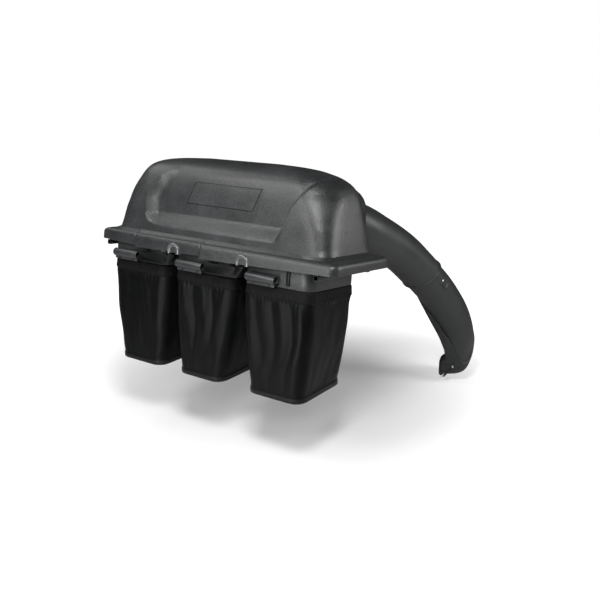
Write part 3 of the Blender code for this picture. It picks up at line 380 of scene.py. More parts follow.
def hood_surface():
    """Outer surface of the hood: each row is a rounded rectangle whose sizes are a smooth curve through the
    table, moved in by recess() on the rear face and out by lip_pads() on the lip."""
    at = np.concatenate([np.linspace(0, 5, 21)[:-1], np.linspace(5, 11, 61)[:-1], np.linspace(11, 20, 78)])
    table = [curve_through(np.arange(len(HOOD_ROWS)), HOOD_ROWS[:, k], at) for k in range(6)]
    n, side, rear, front, r_rear, r_front = table
    half = HOOD_HALF - side
    columns = hood_columns(n, half, r_rear)
    ring = rounded_outline(half, rear, HOOD_DEPTH - front, r_rear, r_front, HOOD_COUNTS, columns)
    x, v = ring[..., 0], ring[..., 1]
    n = np.repeat(n[:, None], x.shape[1], axis=1)
    out, drop = lip_pads(x)
    share = np.clip(1 - (v - rear[:, None]) / (0.5 * r_rear[:, None]), 0, 1)
    fade = (1 - ease((n - LIP_HIGH) / 0.005)) * share
    # The left pad's face leans in under the lip, and the other two lean out towards their lower edges.
    under = np.clip(1 - n / LIP_HIGH, 0, 1) * share
    lean_out = np.select([x < step - 0.002 for step in STEPS], PADS_LEAN[:2], PADS_LEAN[2])
    lean_out = lean_out * ease((HOOD_HALF - np.abs(x)) / 0.03)
    # A dark groove runs down the lip at each step, as a bell curve across.
    groove = sum(GROOVE_DEEP * np.exp(-(((x - step) / GROOVE_WIDE) ** 2)) for step in STEPS)
    v = v + groove * fade - out * fade - lean_out * under + np.where(v < HOOD_DEPTH / 2, recess(x, n), 0.0)
    n = n - drop * share * np.clip(1 - n / 0.040, 0, 1)
    grid = np.stack([x, v, n], axis=-1)
    # The corners are softened: each point there moves halfway to the middle of its two neighbours, again and
    # again. The lip, and the rear face between the recess's edges, keep their forms.
    column = np.arange(grid.shape[1])
    plain = np.clip(np.maximum(NEAR_LEFT - column, column - NEAR_RIGHT) / 6, 0, 1)
    where = plain[None, :] * ease((n[:, :1] - 0.060) / 0.030)
    for _ in range(SOFTENINGS):
        middle = (np.roll(grid, 1, axis=1) + np.roll(grid, -1, axis=1)) / 2
        grid = grid + 0.5 * where[..., None] * (middle - grid)
    return grid


def make_hood():
    """The shell: the outer surface, and an inner one, with fewer rows, that lies a wall's thickness inside it
    along the normal of the grid. A block with the opening's outline is cut out of its front wall."""
    grid = hood_surface()
    around = np.roll(grid, -1, axis=1) - np.roll(grid, 1, axis=1)
    up = np.gradient(grid, axis=0)
    normal = np.cross(around, up)
    normal /= np.linalg.norm(normal, axis=2, keepdims=True) + 1e-12
    normal[0, :, 2] = 0
    normal[0] /= np.linalg.norm(normal[0], axis=1, keepdims=True)
    keep = [0, 6, *range(24, len(grid), 6), len(grid) - 1]
    rings = np.concatenate([(grid - HOOD_WALL * normal)[keep[::-1]], grid])
    shell = surface("hood_cover", lean(rings), caps=(0, -1))
    outwards(shell, 42, merge=0)
    opening = inlet_outline(0.0, 10)
    cutter = surface("opening", lean(np.stack([
        np.stack([opening[:, 0], 0 * opening[:, 0] + v, opening[:, 1]], axis=-1) for v in INLET_CUT
    ])), caps=(0, -1))
    outwards(cutter)
    cut = shell.modifiers.new("opening", "BOOLEAN")
    cut.operation, cut.solver, cut.object = "DIFFERENCE", "MANIFOLD", cutter
    whole = len(shell.data.polygons)
    apply_all(shell)
    if len(shell.data.polygons) < 0.9 * whole:
        raise RuntimeError("the cut for the chute's opening lost most of the hood")
    bpy.data.objects.remove(cutter, do_unlink=True)
    shell.data.shade_smooth()
    shell.data.set_sharp_from_angle(angle=math.radians(42))
    return shell


def quarter_circles(left, right, low, high, r, arc):
    """Four quarter circles of radius r about the corners of a rectangle, anticlockwise, as pairs."""
    parts = []
    for cx, cy, start in ((right, low, -90), (right, high, 0), (left, high, 90), (left, low, 180)):
        a = np.radians(start + np.linspace(0, 90, arc))
        parts.append(np.stack([cx + r * np.cos(a), cy + r * np.sin(a)], axis=-1))
    return np.concatenate(parts)


def inlet_outline(grow, arc):
    """Rounded outline of the chute's opening, as (x, height) pairs."""
    r = INLET_RADIUS + grow
    left, right = INLET_X - INLET_HALF - grow + r, INLET_X + INLET_HALF + grow - r
    return quarter_circles(left, right, INLET_LOW - grow + r, INLET_HIGH + grow - r, r, arc)


def make_inlet_frame():
    """Moulded rim round the opening: a rounded section carried round its outline, on the front wall. Beside
    the opening it goes deeper, because the wall there turns away."""
    rings = []
    for grow, out in INLET_SECTION:
        pairs = inlet_outline(grow, 12)
        v = HOOD_DEPTH - np.interp(pairs[:, 1], HOOD_ROWS[:, 0], HOOD_ROWS[:, 3])
        back = np.where(out < 0, out - 0.020 * ease((pairs[:, 0] - INLET_X - INLET_HALF / 2) / 0.06), out)
        rings.append(np.stack([pairs[:, 0], v + back, pairs[:, 1]], axis=-1))
    return outwards(surface("inlet_rim", lean(np.stack(rings)), along=True), 50)


def make_panel():
    """The bare panel's border: a fine raised line round a leaning rectangle, laid on the rear face. Its four
    edges are the panel's outline, grown or shrunk about its middle."""
    corners = np.array(PANEL)
    lines = []
    for a, b in zip(corners, np.roll(corners, -1, axis=0)):
        t = np.linspace(0, 1, 60)[:-1, None]
        lines.append(a + (b - a) * t)
    line = np.concatenate(lines)
    middle = corners.mean(axis=0)
    rings = []
    for grow, out in ((-0.0034, -0.0004), (-0.0026, 0.0007), (0.0026, 0.0007), (0.0034, -0.0004)):
        pairs = middle + (line - middle) * (1 + grow / 0.09 * np.array([0.45, 1.0]))
        x, n = pairs[:, 0], pairs[:, 1]
        v = hood_at(n, 2) + recess(x, n) - out
        rings.append(np.stack([x, v, n], axis=-1))
    return outwards(surface("panel_border_painted_shade", lean(np.stack(rings)), along=True), 60)


def carry(section, path, axis_a, axis_b):
    """Section pairs (a, b) carried along a path of points: each point plus a and b times its two axes."""
    a, b = section[:, 0][None, :, None], section[:, 1][None, :, None]
    return path[:, None, :] + a * axis_a[:, None, :] + b * axis_b[:, None, :]


def make_arch(name, centre):
    """Arch over a latch: a rounded section carried up one leg, over half an ellipse and down the other."""
    a = np.linspace(0, math.pi, 25)
    half, foot = ARCH_HALF - ARCH_INSET, ARCH_TOP - ARCH_RISE
    arc = np.stack([centre + half * np.cos(a), foot + (ARCH_RISE - ARCH_INSET) * np.sin(a)], axis=-1)
    legs = np.linspace(ARCH_LOW, foot, 5)[:-1]
    right = np.stack([np.full(4, centre + half), legs], axis=-1)
    left = np.stack([np.full(4, centre - half), legs[::-1]], axis=-1)
    line = np.concatenate([right, arc, left])
    path = np.stack([line[:, 0], np.full(len(line), -ARCH_OUT / 2 + 0.0012), line[:, 1]], axis=-1)
    ahead = np.gradient(path, axis=0)
    ahead /= np.linalg.norm(ahead, axis=1, keepdims=True)
    depth = np.tile([0.0, 1.0, 0.0], (len(path), 1))
    outer = np.cross(depth, ahead)
    wide, deep, r = ARCH_BAR
    shape = quarter_circles(r - wide / 2, wide / 2 - r, r - deep / 2, deep / 2 - r, r, 9)
    return outwards(surface(name, lean(carry(shape, path, outer, depth)), caps=(0, -1)), 50)


def arch_back(name, centre):
    """Web that closes the arch's back, set in from its front: a flat plate topped by half an ellipse."""
    t = np.linspace(-1, 1, 15)
    half = ARCH_HALF - ARCH_WEB
    top = ARCH_TOP - ARCH_RISE + (ARCH_RISE - ARCH_WEB) * np.sqrt(np.clip(1 - t * t, 0, 1))
    rings = []
    for v in (-0.0095, -0.0002):
        low = np.stack([centre + half * t, np.full(15, v), np.full(15, ARCH_LOW + 0.004)], axis=-1)
        high = np.stack([centre + half * t[::-1], np.full(15, v), top[::-1]], axis=-1)
        rings.append(np.concatenate([low, high]))
    return outwards(surface(name, lean(np.stack(rings)), caps=(0, -1)), 40)


# Chute


def chute_path(at):
    """Centre and direction on the chute's centreline, where at counts its points: cubics through the points,
    each of which takes its direction from the two points beside it."""
    at = np.asarray(at, float)
    p = CHUTE_PATH
    p = np.concatenate([[2 * p[0] - p[1]], p, [p[-1] + k * (p[-1] - p[-2]) for k in (1, 2)]])
    i = np.minimum(at.astype(int), len(CHUTE_PATH) - 1)
    t = (at - i)[..., None]
    a, b, c, d = p[i], p[i + 1], p[i + 2], p[i + 3]
    place = 0.5 * (2 * b + (c - a) * t + (2 * a - 5 * b + 4 * c - d) * t**2 + (3 * b - a - 3 * c + d) * t**3)
    ahead = 0.5 * ((c - a) + (4 * a - 10 * b + 8 * c - 2 * d) * t + (9 * b - 3 * a - 9 * c + 3 * d) * t**2)
    return place, ahead / np.linalg.norm(ahead, axis=-1, keepdims=True)


def chute_points(at, angle, wide, deep, power=2.0):
    """Points at angles round the chute: wide and deep are its half sizes, and its outline is where the powers
    of its two sides add up to 1, a circle at power 2 and squarer above it."""
    place, ahead = chute_path(at)
    across = np.array([1.0, 0, 0]) - ahead[..., :1] * ahead
    across /= np.linalg.norm(across, axis=-1, keepdims=True)
    other = np.cross(ahead, across)
    c, s = np.cos(angle), np.sin(angle)
    reach = (np.abs(c) ** power + np.abs(s) ** power) ** (-1 / power)
    return place + across * (wide * c * reach)[..., None] + other * (deep * s * reach)[..., None]


def seam_at(angle):
    """Where the upper tube ends, along the chute, at an angle round it: a plane cut, set aslant."""
    return SEAM - SEAM_SLANT * np.sin(angle)


def lower_points(at, angle, grow=0.0):
    """The lower tube: round at the seam, narrower and a little squarer towards its mouth."""
    t = ease((at - TAPER[0]) / TAPER[1])
    wide = LOWER_R + (LOWER_END[0] - LOWER_R) * t
    deep = LOWER_R + (LOWER_END[1] - LOWER_R) * t
    # Inside the upper tube it is a neck that fits there with a small gap.
    in_neck, neck = at < seam_at(angle) + 0.01, UPPER_R - CHUTE_WALL - 0.0003
    wide = np.where(in_neck, neck, wide) + grow
    deep = np.where(in_neck, neck, deep) + grow
    return chute_points(at, angle, wide, deep, 2.0 + 0.8 * t)


def mouth_places(angle):
    """Where each line along the lower tube meets its mouth's plane: halving between two places, 30 times."""
    low, high = (np.full_like(angle, place) for place in MOUTH_BETWEEN)
    for _ in range(30):
        at = (low + high) / 2
        inside = (lower_points(at, angle) - MOUTH) @ MOUTH_FACING < 0
        low, high = np.where(inside, at, low), np.where(inside, high, at)
    return (low + high) / 2


def make_chute():
    """Both tubes: a circle or squarish ring carried along the centreline, with a wall on its inner side."""
    count = 96
    angle = 2 * math.pi * np.arange(count) / count
    share = np.concatenate([np.linspace(0, 0.97, 100), np.linspace(0.972, 1, 24)])[:, None]
    end = seam_at(angle)[None, :]
    at = share * end
    radius = UPPER_INLET_R + (UPPER_R - UPPER_INLET_R) * ease((at - 0.6) / 1.2)
    # A rolled rim stands out at the seam.
    radius = radius + SEAM_RIM * ease((at - end + 0.085) / 0.04)
    upper = surface("chute_upper_tube", chute_points(at, 0 * at + angle, radius, radius))
    outwards(upper, 60)
    wall(upper, CHUTE_WALL)

    ends = mouth_places(angle)
    share = np.linspace(0, 1, 120)[:, None]
    start = end + 0.05
    places = start + (ends[None, :] - start) * share
    places = np.concatenate([end - 0.5, end - 0.4, end, places])
    lower = surface("chute_lower_tube", lower_points(places, np.tile(angle, (len(places), 1))))
    outwards(lower, 60)
    wall(lower, CHUTE_WALL)
    return upper, lower, make_boot(angle, ends)


def make_boot(angle, ends):
    """The adapter: it starts on the tube just above its mouth, and each of its lines then follows a cubic
    from the mouth, downwards, to the outlet, sideways."""
    lap, middle, mouth = (lower_points(ends - back, angle, BOOT_GAP) for back in (0.35, 0.17, 0.0))
    x, y, z, half_y, half_z = OUTLET
    c, s = np.cos(angle), np.sin(angle)
    reach = (np.abs(c) ** 5 + np.abs(s) ** 5) ** (-1 / 5)
    outlet = np.stack([np.full_like(c, x), y - half_y * s * reach, z - half_z * c * reach], axis=-1)
    aside = BOOT_ASIDE[0] + (BOOT_ASIDE[1] - BOOT_ASIDE[0]) * (1 - c) / 2
    rings = [lap, middle, mouth]
    for t in np.linspace(0, 1, 33)[1:]:
        keep, far = 2 * t**3 - 3 * t * t + 1, 3 * t * t - 2 * t**3
        down, turn = t**3 - 2 * t * t + t, t**3 - t * t
        pull = np.stack([aside * turn, 0 * aside, np.full_like(aside, BOOT_DOWN * down)], axis=-1)
        rings.append(mouth * keep + outlet * far - pull)
    boot = surface("adapter_boot", np.stack(rings))
    outwards(boot, 60)
    wall(boot, BOOT_WALL, 1.0)
    return boot


def chute_patch(name, where, length, width, height, edge):
    """Raised pad on the lower tube: a grid over a rounded rectangle of the tube's surface, whose height rises
    from just under the surface to a rounded edge, and falls again to a shallow pocket in the middle."""
    along, across = np.linspace(-1, 1, 41), np.linspace(-1, 1, 31)
    u, w = np.meshgrid(along, across, indexing="ij")
    inside = 1 - (np.abs(u) ** 6 + np.abs(w) ** 6) ** (1 / 6)
    rise = -0.0010 + (height + 0.0010) * ease(inside / edge)
    rise = rise - 0.6 * height * ease((inside - edge - 0.06) / 0.16)
    at, angle = where
    per_step = float(np.linalg.norm(np.subtract(*chute_path(np.array([at + 0.5, at - 0.5]))[0])))
    points = lower_points(at + u * length / 2 / per_step, angle + w * width / 2 / LOWER_R, rise)
    return outwards(surface(name, points, around=False), 50)


def button(name, centre, facing, radius, height):
    """Domed button: rings from a short straight side over a quarter of an ellipse to its top."""
    facing = np.asarray(facing, float) / np.linalg.norm(facing)
    across = np.cross(facing, [1.0, 0.2, 0.1])
    across /= np.linalg.norm(across)
    other = np.cross(facing, across)
    turn = 2 * math.pi * np.arange(28) / 28
    profile = [(radius * 0.9, -0.0012), (radius, -0.0010), (radius, 0.0)]
    profile += [(radius * math.cos(a), height * math.sin(a)) for a in np.linspace(0.15, 1.45, 8)]
    round_it = np.cos(turn)[:, None] * across + np.sin(turn)[:, None] * other
    rings = [centre + facing * up + r * round_it for r, up in profile]
    return outwards(surface(name, np.stack(rings), caps=(0, -1)), 50)


def wall(piece, thickness, side=-1.0):
    """Gives an open surface its wall, on the inner side or with side 1 on the outer."""
    made = piece.modifiers.new("wall", "SOLIDIFY")
    made.thickness, made.offset, made.use_even_offset = thickness, side, True
    return apply_all(piece)


# Bags


# Each fold: its place round the bag from the rear left corner (share), width, depth, how far down it reaches
FOLDS = {
    "left": (
        (0.03, 0.022, 0.0030, 0.8), (0.12, 0.030, -0.0035, 1.0), (0.19, 0.018, 0.0035, 1.0),
        (0.55, 0.03, 0.003, 0.9),
    ),
    "middle": (
        (0.020, 0.016, -0.0035, 0.5), (0.075, 0.024, 0.0060, 0.75), (0.120, 0.018, -0.0060, 0.85),
        (0.165, 0.020, 0.0065, 0.95), (0.205, 0.012, -0.0040, 0.9), (0.45, 0.03, 0.004, 0.9),
        (0.62, 0.03, -0.003, 0.8),
    ),
    "right": (
        (0.012, 0.013, -0.0040, 1.0), (0.040, 0.016, 0.0045, 0.9), (0.085, 0.026, -0.0045, 0.8),
        (0.150, 0.016, -0.0060, 1.1), (0.185, 0.018, 0.0055, 1.0), (0.222, 0.014, -0.0065, 1.2),
        (0.258, 0.012, 0.0045, 1.2), (0.40, 0.030, 0.0035, 0.7), (0.46, 0.020, -0.0040, 0.7),
        (0.70, 0.03, 0.003, 0.9),
    ),
}
# Where each bag's random waves start
FOLD_SEED = {"left": 3, "middle": 11, "right": 23}


def ring_columns(centre, half, rear, front, radius, near=62, side=46, far=40, arc=9):
    """Rounded rectangle with evenly spread columns, one ring."""
    flat_half = half - radius
    reach = flat_half + radius * math.pi / 2
    columns = spread(np.array([[-reach, -flat_half, flat_half, reach]]), (arc, near, arc))
    return rounded_outline([half], [rear], [front], [radius], [radius], (arc, side, far), columns, centre)[0]


def bag_folds(name, s, length, share):
    """How far the cloth stands out of its smooth form, at s metres round the bag and a share of its height.
    Long folds are narrow bumps that start under the hem and fade downwards, and drift sideways as sines do.
    Slack is a sum of products of a wave round the bag and a slower one down it. Under the hem, gathers are a
    fine wave that dies out within a few centimetres."""
    draw = np.random.default_rng(FOLD_SEED[name])
    total = np.zeros(np.broadcast(s, share).shape)
    for centre, width, depth, reach in FOLDS[name]:
        drift = 0.014 * np.sin(2.2 * share * math.pi + centre * 9)
        away = (s - centre * length + drift + length / 2) % length - length / 2
        strength = ease(share / 0.05) * (1 - ease((share - reach * 0.45) / (reach * 0.6)))
        total = total + depth * np.exp(-(away / (width * (1 + share))) ** 2) * strength
    for _ in range(14):
        round_it, down_it = draw.integers(3, 26), draw.uniform(1.0, 5.0)
        phase, start, slant = draw.uniform(0, 6.28), draw.uniform(0, 6.28), draw.uniform(-4, 4)
        wave = np.sin(2 * math.pi * round_it * s / length + phase + slant * share)
        slower = 0.6 + np.sin(down_it * math.pi * share + start)
        total = total + 0.0062 / (round_it + 6) * wave * slower * ease(share / 0.08)
    gather = 0.0020 * np.exp(-share / 0.035) * np.sin(2 * math.pi * 74 * s / length + 2.4 * np.sin(31 * s))
    return total + gather


def make_bag(name, centre, bottom):
    """One bag's cloth: rings that blend evenly from the collar's outline to the tray's, pushed out along
    their normals by bag_folds(), under a wide hem that hangs from the collar and ripples as sines do."""
    base = ring_columns((bottom[0] + bottom[1]) / 2, (bottom[1] - bottom[0]) / 2, *BOTTOM_Y, BOTTOM_R)

    def top_ring(grow, n):
        pairs = ring_columns(
            centre, COLLAR_HALF + grow, COLLAR_REAR - grow, COLLAR_FRONT + grow, COLLAR_R + grow
        )
        return lean(np.stack([pairs[:, 0], pairs[:, 1], np.full(len(pairs), n)], axis=-1))

    def outward(ring):
        along = np.roll(ring, -1, axis=0) - np.roll(ring, 1, axis=0)
        out = np.stack([along[:, 1], -along[:, 0]], axis=-1)
        return out / (np.linalg.norm(out, axis=1, keepdims=True) + 1e-12)

    start = top_ring(-0.0005, COLLAR_LOW - HEM - 0.004)
    step = np.linalg.norm(np.roll(start, -1, axis=0) - start, axis=1)
    s = np.concatenate([[0], np.cumsum(step)[:-1]])
    length = step.sum()

    rings, down = [], []
    for grow, n in HEM_TOP:
        rings.append(top_ring(grow, n))
        down.append(COLLAR_LOW - n)
    # The hem's lower edge waves up and down, and gathers run up from it to its middle.
    edge = 0.0022 * np.sin(2 * math.pi * 9 * s / length + 2 * np.sin(5 * s + centre))
    edge = edge + 0.0012 * np.sin(2 * math.pi * 31 * s / length)
    for share in np.linspace(0, 1, 19):
        n = COLLAR_LOW - 0.009 - (HEM - 0.011) * share
        ring = top_ring(0.0022 + 0.0018 * share, n)
        ripple = 0.0016 * np.sin(2 * math.pi * 44 * s / length + 3 * np.sin(11 * s + 3 * centre)) * share**3
        ripple += 0.0008 * np.sin(2 * math.pi * 13 * s / length + 5 * centre + 2.0 * share)
        ring[:, :2] += outward(ring) * ripple[:, None]
        ring[:, 2] += edge * share**2
        rings.append(ring)
        down.append(COLLAR_LOW - n)
    foot = BOTTOM_Z + TRAY_HIGH + 0.004
    base3 = np.concatenate([base, np.full((len(base), 1), foot)], axis=1)
    for share in np.linspace(0, 1, 90):
        ring = start + (base3 - start) * share
        swell = 0.006 * math.sin(math.pi * share)
        push = bag_folds(name, s, length, share) + swell
        push = push * (1 - ease((share - 0.93) / 0.07))
        ring[:, :2] += outward(ring) * push[:, None]
        rings.append(ring)
        down.append(HEM + 0.004 + share * 0.43)
    for z in (foot - 0.012, BOTTOM_Z + 0.0036):
        rings.append(np.concatenate([base, np.full((len(base), 1), z)], axis=1))
        down.append(down[-1] + 0.012)
    rings = np.stack(rings)
    uv = np.stack([np.tile(s, (len(rings), 1)), np.tile(np.array(down)[:, None], (1, len(s)))], axis=-1)
    cloth = surface(f"bag_fabric_{name}", rings, caps=(-1,), uv=uv)
    outwards(cloth, 60)
    return wall(cloth, CLOTH_WALL)


# Finer copies of the CAD's nodes


def refine(name, edge, sharp=32.0):
    """A finer copy of a CAD node: its loose triangles merged, flat areas made one face, edges rounded."""
    piece = bpy.data.objects.new(name + "_fine", frame["nodes"][name].data.copy())
    bpy.context.scene.collection.objects.link(piece)
    piece.data.materials.clear()
    work = bmesh.new()
    work.from_mesh(piece.data)
    bmesh.ops.remove_doubles(work, verts=work.verts, dist=0.00002)
    bmesh.ops.dissolve_limit(work, angle_limit=math.radians(1.0), verts=work.verts, edges=work.edges)
    work.to_mesh(piece.data)
    work.free()
    if edge:
        rounding = piece.modifiers.new("edges", "BEVEL")
        rounding.width, rounding.segments = edge, 2
        rounding.limit_method, rounding.angle_limit = "ANGLE", math.radians(sharp)
        apply_all(piece)
    piece.data.shade_smooth()
    piece.data.set_sharp_from_angle(angle=math.radians(sharp + 8))
    return piece


# Materials

MULTIPLY, MULTIPLY_ADD = {"operation": "MULTIPLY"}, {"operation": "MULTIPLY_ADD"}
COLOURS = {"data_type": "RGBA"}
# The weave is drawn at WEAVE metres, and the hem's tape ends between the TAPE lengths from its top
WEAVE, TAPE = 0.004, (0.0490, 0.0530)


def linear(hex_colour):
    """sRGB hex to linear RGBA."""
    values = [int(hex_colour[i : i + 2], 16) / 255 for i in (1, 3, 5)]
    return tuple(v / 12.92 if v <= 0.04045 else ((v + 0.055) / 1.055) ** 2.4 for v in values) + (1.0,)


def node(tree, kind, settings=(), **inputs):
    """Adds a node. settings are its own properties. Each input is named, or counted as i0, i1 and so on, and
    is a value or another node's output."""
    made = tree.nodes.new("ShaderNode" + kind)
    for key, value in dict(settings).items():
        setattr(made, key, value)
    for key, value in inputs.items():
        counted = key[0] == "i" and key[1:].isdigit()
        socket = made.inputs[int(key[1:]) if counted else key.replace("_", " ")]
        if isinstance(value, bpy.types.NodeSocket):
            tree.links.new(value, socket)
        else:
            socket.default_value = value
    return made


def new_material(name, colour, roughness, metallic=0.0, ior=1.5):
    """An even material of one colour, which its own function then patterns."""
    made = bpy.data.materials.new(name)
    made.use_nodes = True
    tree = made.node_tree
    shader = tree.nodes["Principled BSDF"]
    shader.inputs["Base Color"].default_value = linear(colour)
    shader.inputs["Roughness"].default_value = roughness
    shader.inputs["Metallic"].default_value = metallic
    shader.inputs["IOR"].default_value = ior
    return made, tree, shader


def moulded_polyethylene(name, dark, light, roughness, grain, depth, gloss, speck):
    """Rotation-moulded or injection-moulded polyethylene. The tool's spark-eroded grain breaks the highlight
    into fine specks about grain metres across, the pigment clouds slightly over hand-wide areas, and raised
    edges are rubbed a little paler."""
    made, tree, shader = new_material(name, dark, roughness, 0.0, 1.51)
    shader.inputs["Specular IOR Level"].default_value = gloss
    place = node(tree, "TexCoord").outputs["Object"]
    clouds = node(tree, "TexNoise", Vector=place, Scale=9.0, Detail=3.0, Roughness=0.55).outputs["Fac"]
    specks = node(tree, "TexNoise", Vector=place, Scale=0.7 / grain, Detail=3.0, Roughness=0.7).outputs["Fac"]
    cloudy = node(tree, "Math", MULTIPLY_ADD, i0=clouds, i1=1 - speck, i2=0.0).outputs[0]
    both = node(tree, "Math", MULTIPLY_ADD, i0=specks, i1=speck, i2=cloudy).outputs[0]
    ramp = node(tree, "ValToRGB", Fac=both)
    first, last = ramp.color_ramp.elements
    first.position, last.position = 0.40, 0.62
    first.color, last.color = linear(dark), linear(light)
    edges = node(tree, "NewGeometry").outputs["Pointiness"]
    worn = node(tree, "MapRange", Value=edges, i1=0.56, i2=0.66, i3=0.0, i4=0.05).outputs[0]
    rubbed = node(tree, "Mix", COLOURS, i0=worn, i6=ramp.outputs["Color"], i7=linear("#8a8b8c"))
    tree.links.new(rubbed.outputs[2], shader.inputs["Base Color"])
    rough = node(tree, "MapRange", Value=clouds, i1=0.3, i2=0.7, i3=roughness - 0.05, i4=roughness + 0.06)
    tree.links.new(rough.outputs[0], shader.inputs["Roughness"])
    bump = node(tree, "Bump", Strength=depth, Distance=0.0010, Height=specks)
    tree.links.new(bump.outputs[0], shader.inputs["Normal"])
    return made


def woven_polyester(name):
    """Coated polyester mesh, woven. The real threads are about 0.8 mm apart, too fine to show, so the weave
    is drawn coarser. Two crossed waves on the cloth's own UVs make it, dust and fine upright streaks cloud
    its black, and a faint sheen lies on the folds. The hem is taped, so it is plainer and duller."""
    made, tree, shader = new_material(name, "#17181a", 0.36, 0.0, 1.53)
    shader.inputs["Specular IOR Level"].default_value = 0.10
    shader.inputs["Sheen Weight"].default_value = 0.05
    shader.inputs["Sheen Roughness"].default_value = 0.45
    shader.inputs["Sheen Tint"].default_value = linear("#9a9da0")
    place = node(tree, "UVMap", {"uv_map": "cloth"}).outputs[0]
    split = node(tree, "SeparateXYZ", Vector=place)
    crossed = []
    for axis in (0, 1):
        turns = node(tree, "Math", MULTIPLY, i0=split.outputs[axis], i1=2 * math.pi / WEAVE).outputs[0]
        wave = node(tree, "Math", {"operation": "SINE"}, i0=turns).outputs[0]
        crossed.append(node(tree, "Math", {"operation": "ABSOLUTE"}, i0=wave).outputs[0])
    weave = node(tree, "Math", MULTIPLY, i0=crossed[0], i1=crossed[1]).outputs[0]
    on_piece = node(tree, "TexCoord").outputs["Object"]
    dust = node(tree, "TexNoise", Vector=on_piece, Scale=14.0, Detail=5.0, Roughness=0.62).outputs["Fac"]
    drawn = node(tree, "VectorMath", MULTIPLY, i0=place, i1=(90.0, 7.0, 0.0)).outputs[0]
    streaks = node(tree, "TexNoise", Vector=drawn, Scale=1.0, Detail=3.0, Roughness=0.6).outputs["Fac"]
    mixed = node(tree, "Math", MULTIPLY_ADD, i0=streaks, i1=0.5, i2=0.0).outputs[0]
    total = node(tree, "Math", MULTIPLY_ADD, i0=dust, i1=0.5, i2=mixed).outputs[0]
    ramp = node(tree, "ValToRGB", Fac=total)
    first, last = ramp.color_ramp.elements
    first.position, last.position = 0.38, 0.66
    first.color, last.color = linear("#040405"), linear("#090a0a")
    on_hem = node(tree, "MapRange", Value=split.outputs[1], i1=TAPE[0], i2=TAPE[1], i3=1.0, i4=0.0).outputs[0]
    taped = node(tree, "Mix", COLOURS, i0=on_hem, i6=ramp.outputs["Color"], i7=linear("#0b0b0c"))
    tree.links.new(taped.outputs[2], shader.inputs["Base Color"])
    dull = node(tree, "MapRange", Value=on_hem, i3=0.36, i4=0.62)
    tree.links.new(dull.outputs[0], shader.inputs["Roughness"])
    height = node(tree, "Math", MULTIPLY_ADD, i0=weave, i1=0.35, i2=dust).outputs[0]
    bump = node(tree, "Bump", Strength=0.45, Distance=0.0012, Height=height)
    tree.links.new(bump.outputs[0], shader.inputs["Normal"])
    return made


def plated_steel(name, base, roughness):
    """Zinc-plated steel, bright, or dark for the grip screws. Drawing leaves fine lines along X that stretch
    its highlights, and the plating clouds slightly."""
    made, tree, shader = new_material(name, base, roughness, 1.0)
    place = node(tree, "TexCoord").outputs["Object"]
    drawn = node(tree, "VectorMath", MULTIPLY, i0=place, i1=(60.0, 900.0, 900.0)).outputs[0]
    lines = node(tree, "TexNoise", Vector=drawn, Scale=1.0, Detail=2.0).outputs["Fac"]
    clouds = node(tree, "TexNoise", Vector=place, Scale=120.0, Detail=2.0).outputs["Fac"]
    rough = node(tree, "MapRange", Value=clouds, i1=0.3, i2=0.7, i3=roughness - 0.06, i4=roughness + 0.1)
    tree.links.new(rough.outputs[0], shader.inputs["Roughness"])
    bump = node(tree, "Bump", Strength=0.1, Distance=0.0002, Height=lines)
    tree.links.new(bump.outputs[0], shader.inputs["Normal"])
    return made


def powder_coat(name, base, roughness):
    """Black powder coating on steel: a low orange-peel ripple about 2 mm across and an even, soft gloss."""
    made, tree, shader = new_material(name, base, roughness, 0.0, 1.5)
    place = node(tree, "TexCoord").outputs["Object"]
    peel = node(tree, "TexNoise", Vector=place, Scale=420.0, Detail=1.5).outputs["Fac"]
    clouds = node(tree, "TexNoise", Vector=place, Scale=20.0, Detail=3.0).outputs["Fac"]
    ramp = node(tree, "ValToRGB", Fac=clouds)
    first, last = ramp.color_ramp.elements
    first.color, last.color = linear(base), linear("#26272a")
    tree.links.new(ramp.outputs["Color"], shader.inputs["Base Color"])
    bump = node(tree, "Bump", Strength=0.15, Distance=0.0003, Height=peel)
    tree.links.new(bump.outputs[0], shader.inputs["Normal"])
    return made


def black_rubber(name):
    """Vulcanised rubber: matt, with a dusty bloom in soft patches."""
    made, tree, shader = new_material(name, "#121213", 0.8, 0.0, 1.52)
    place = node(tree, "TexCoord").outputs["Object"]
    bloom = node(tree, "TexNoise", Vector=place, Scale=35.0, Detail=4.0).outputs["Fac"]
    ramp = node(tree, "ValToRGB", Fac=bloom)
    first, last = ramp.color_ramp.elements
    first.color, last.color = linear("#0f0f10"), linear("#202122")
    tree.links.new(ramp.outputs["Color"], shader.inputs["Base Color"])
    bump = node(tree, "Bump", Strength=0.2, Distance=0.0004, Height=bloom)
    tree.links.new(bump.outputs[0], shader.inputs["Normal"])
    return made


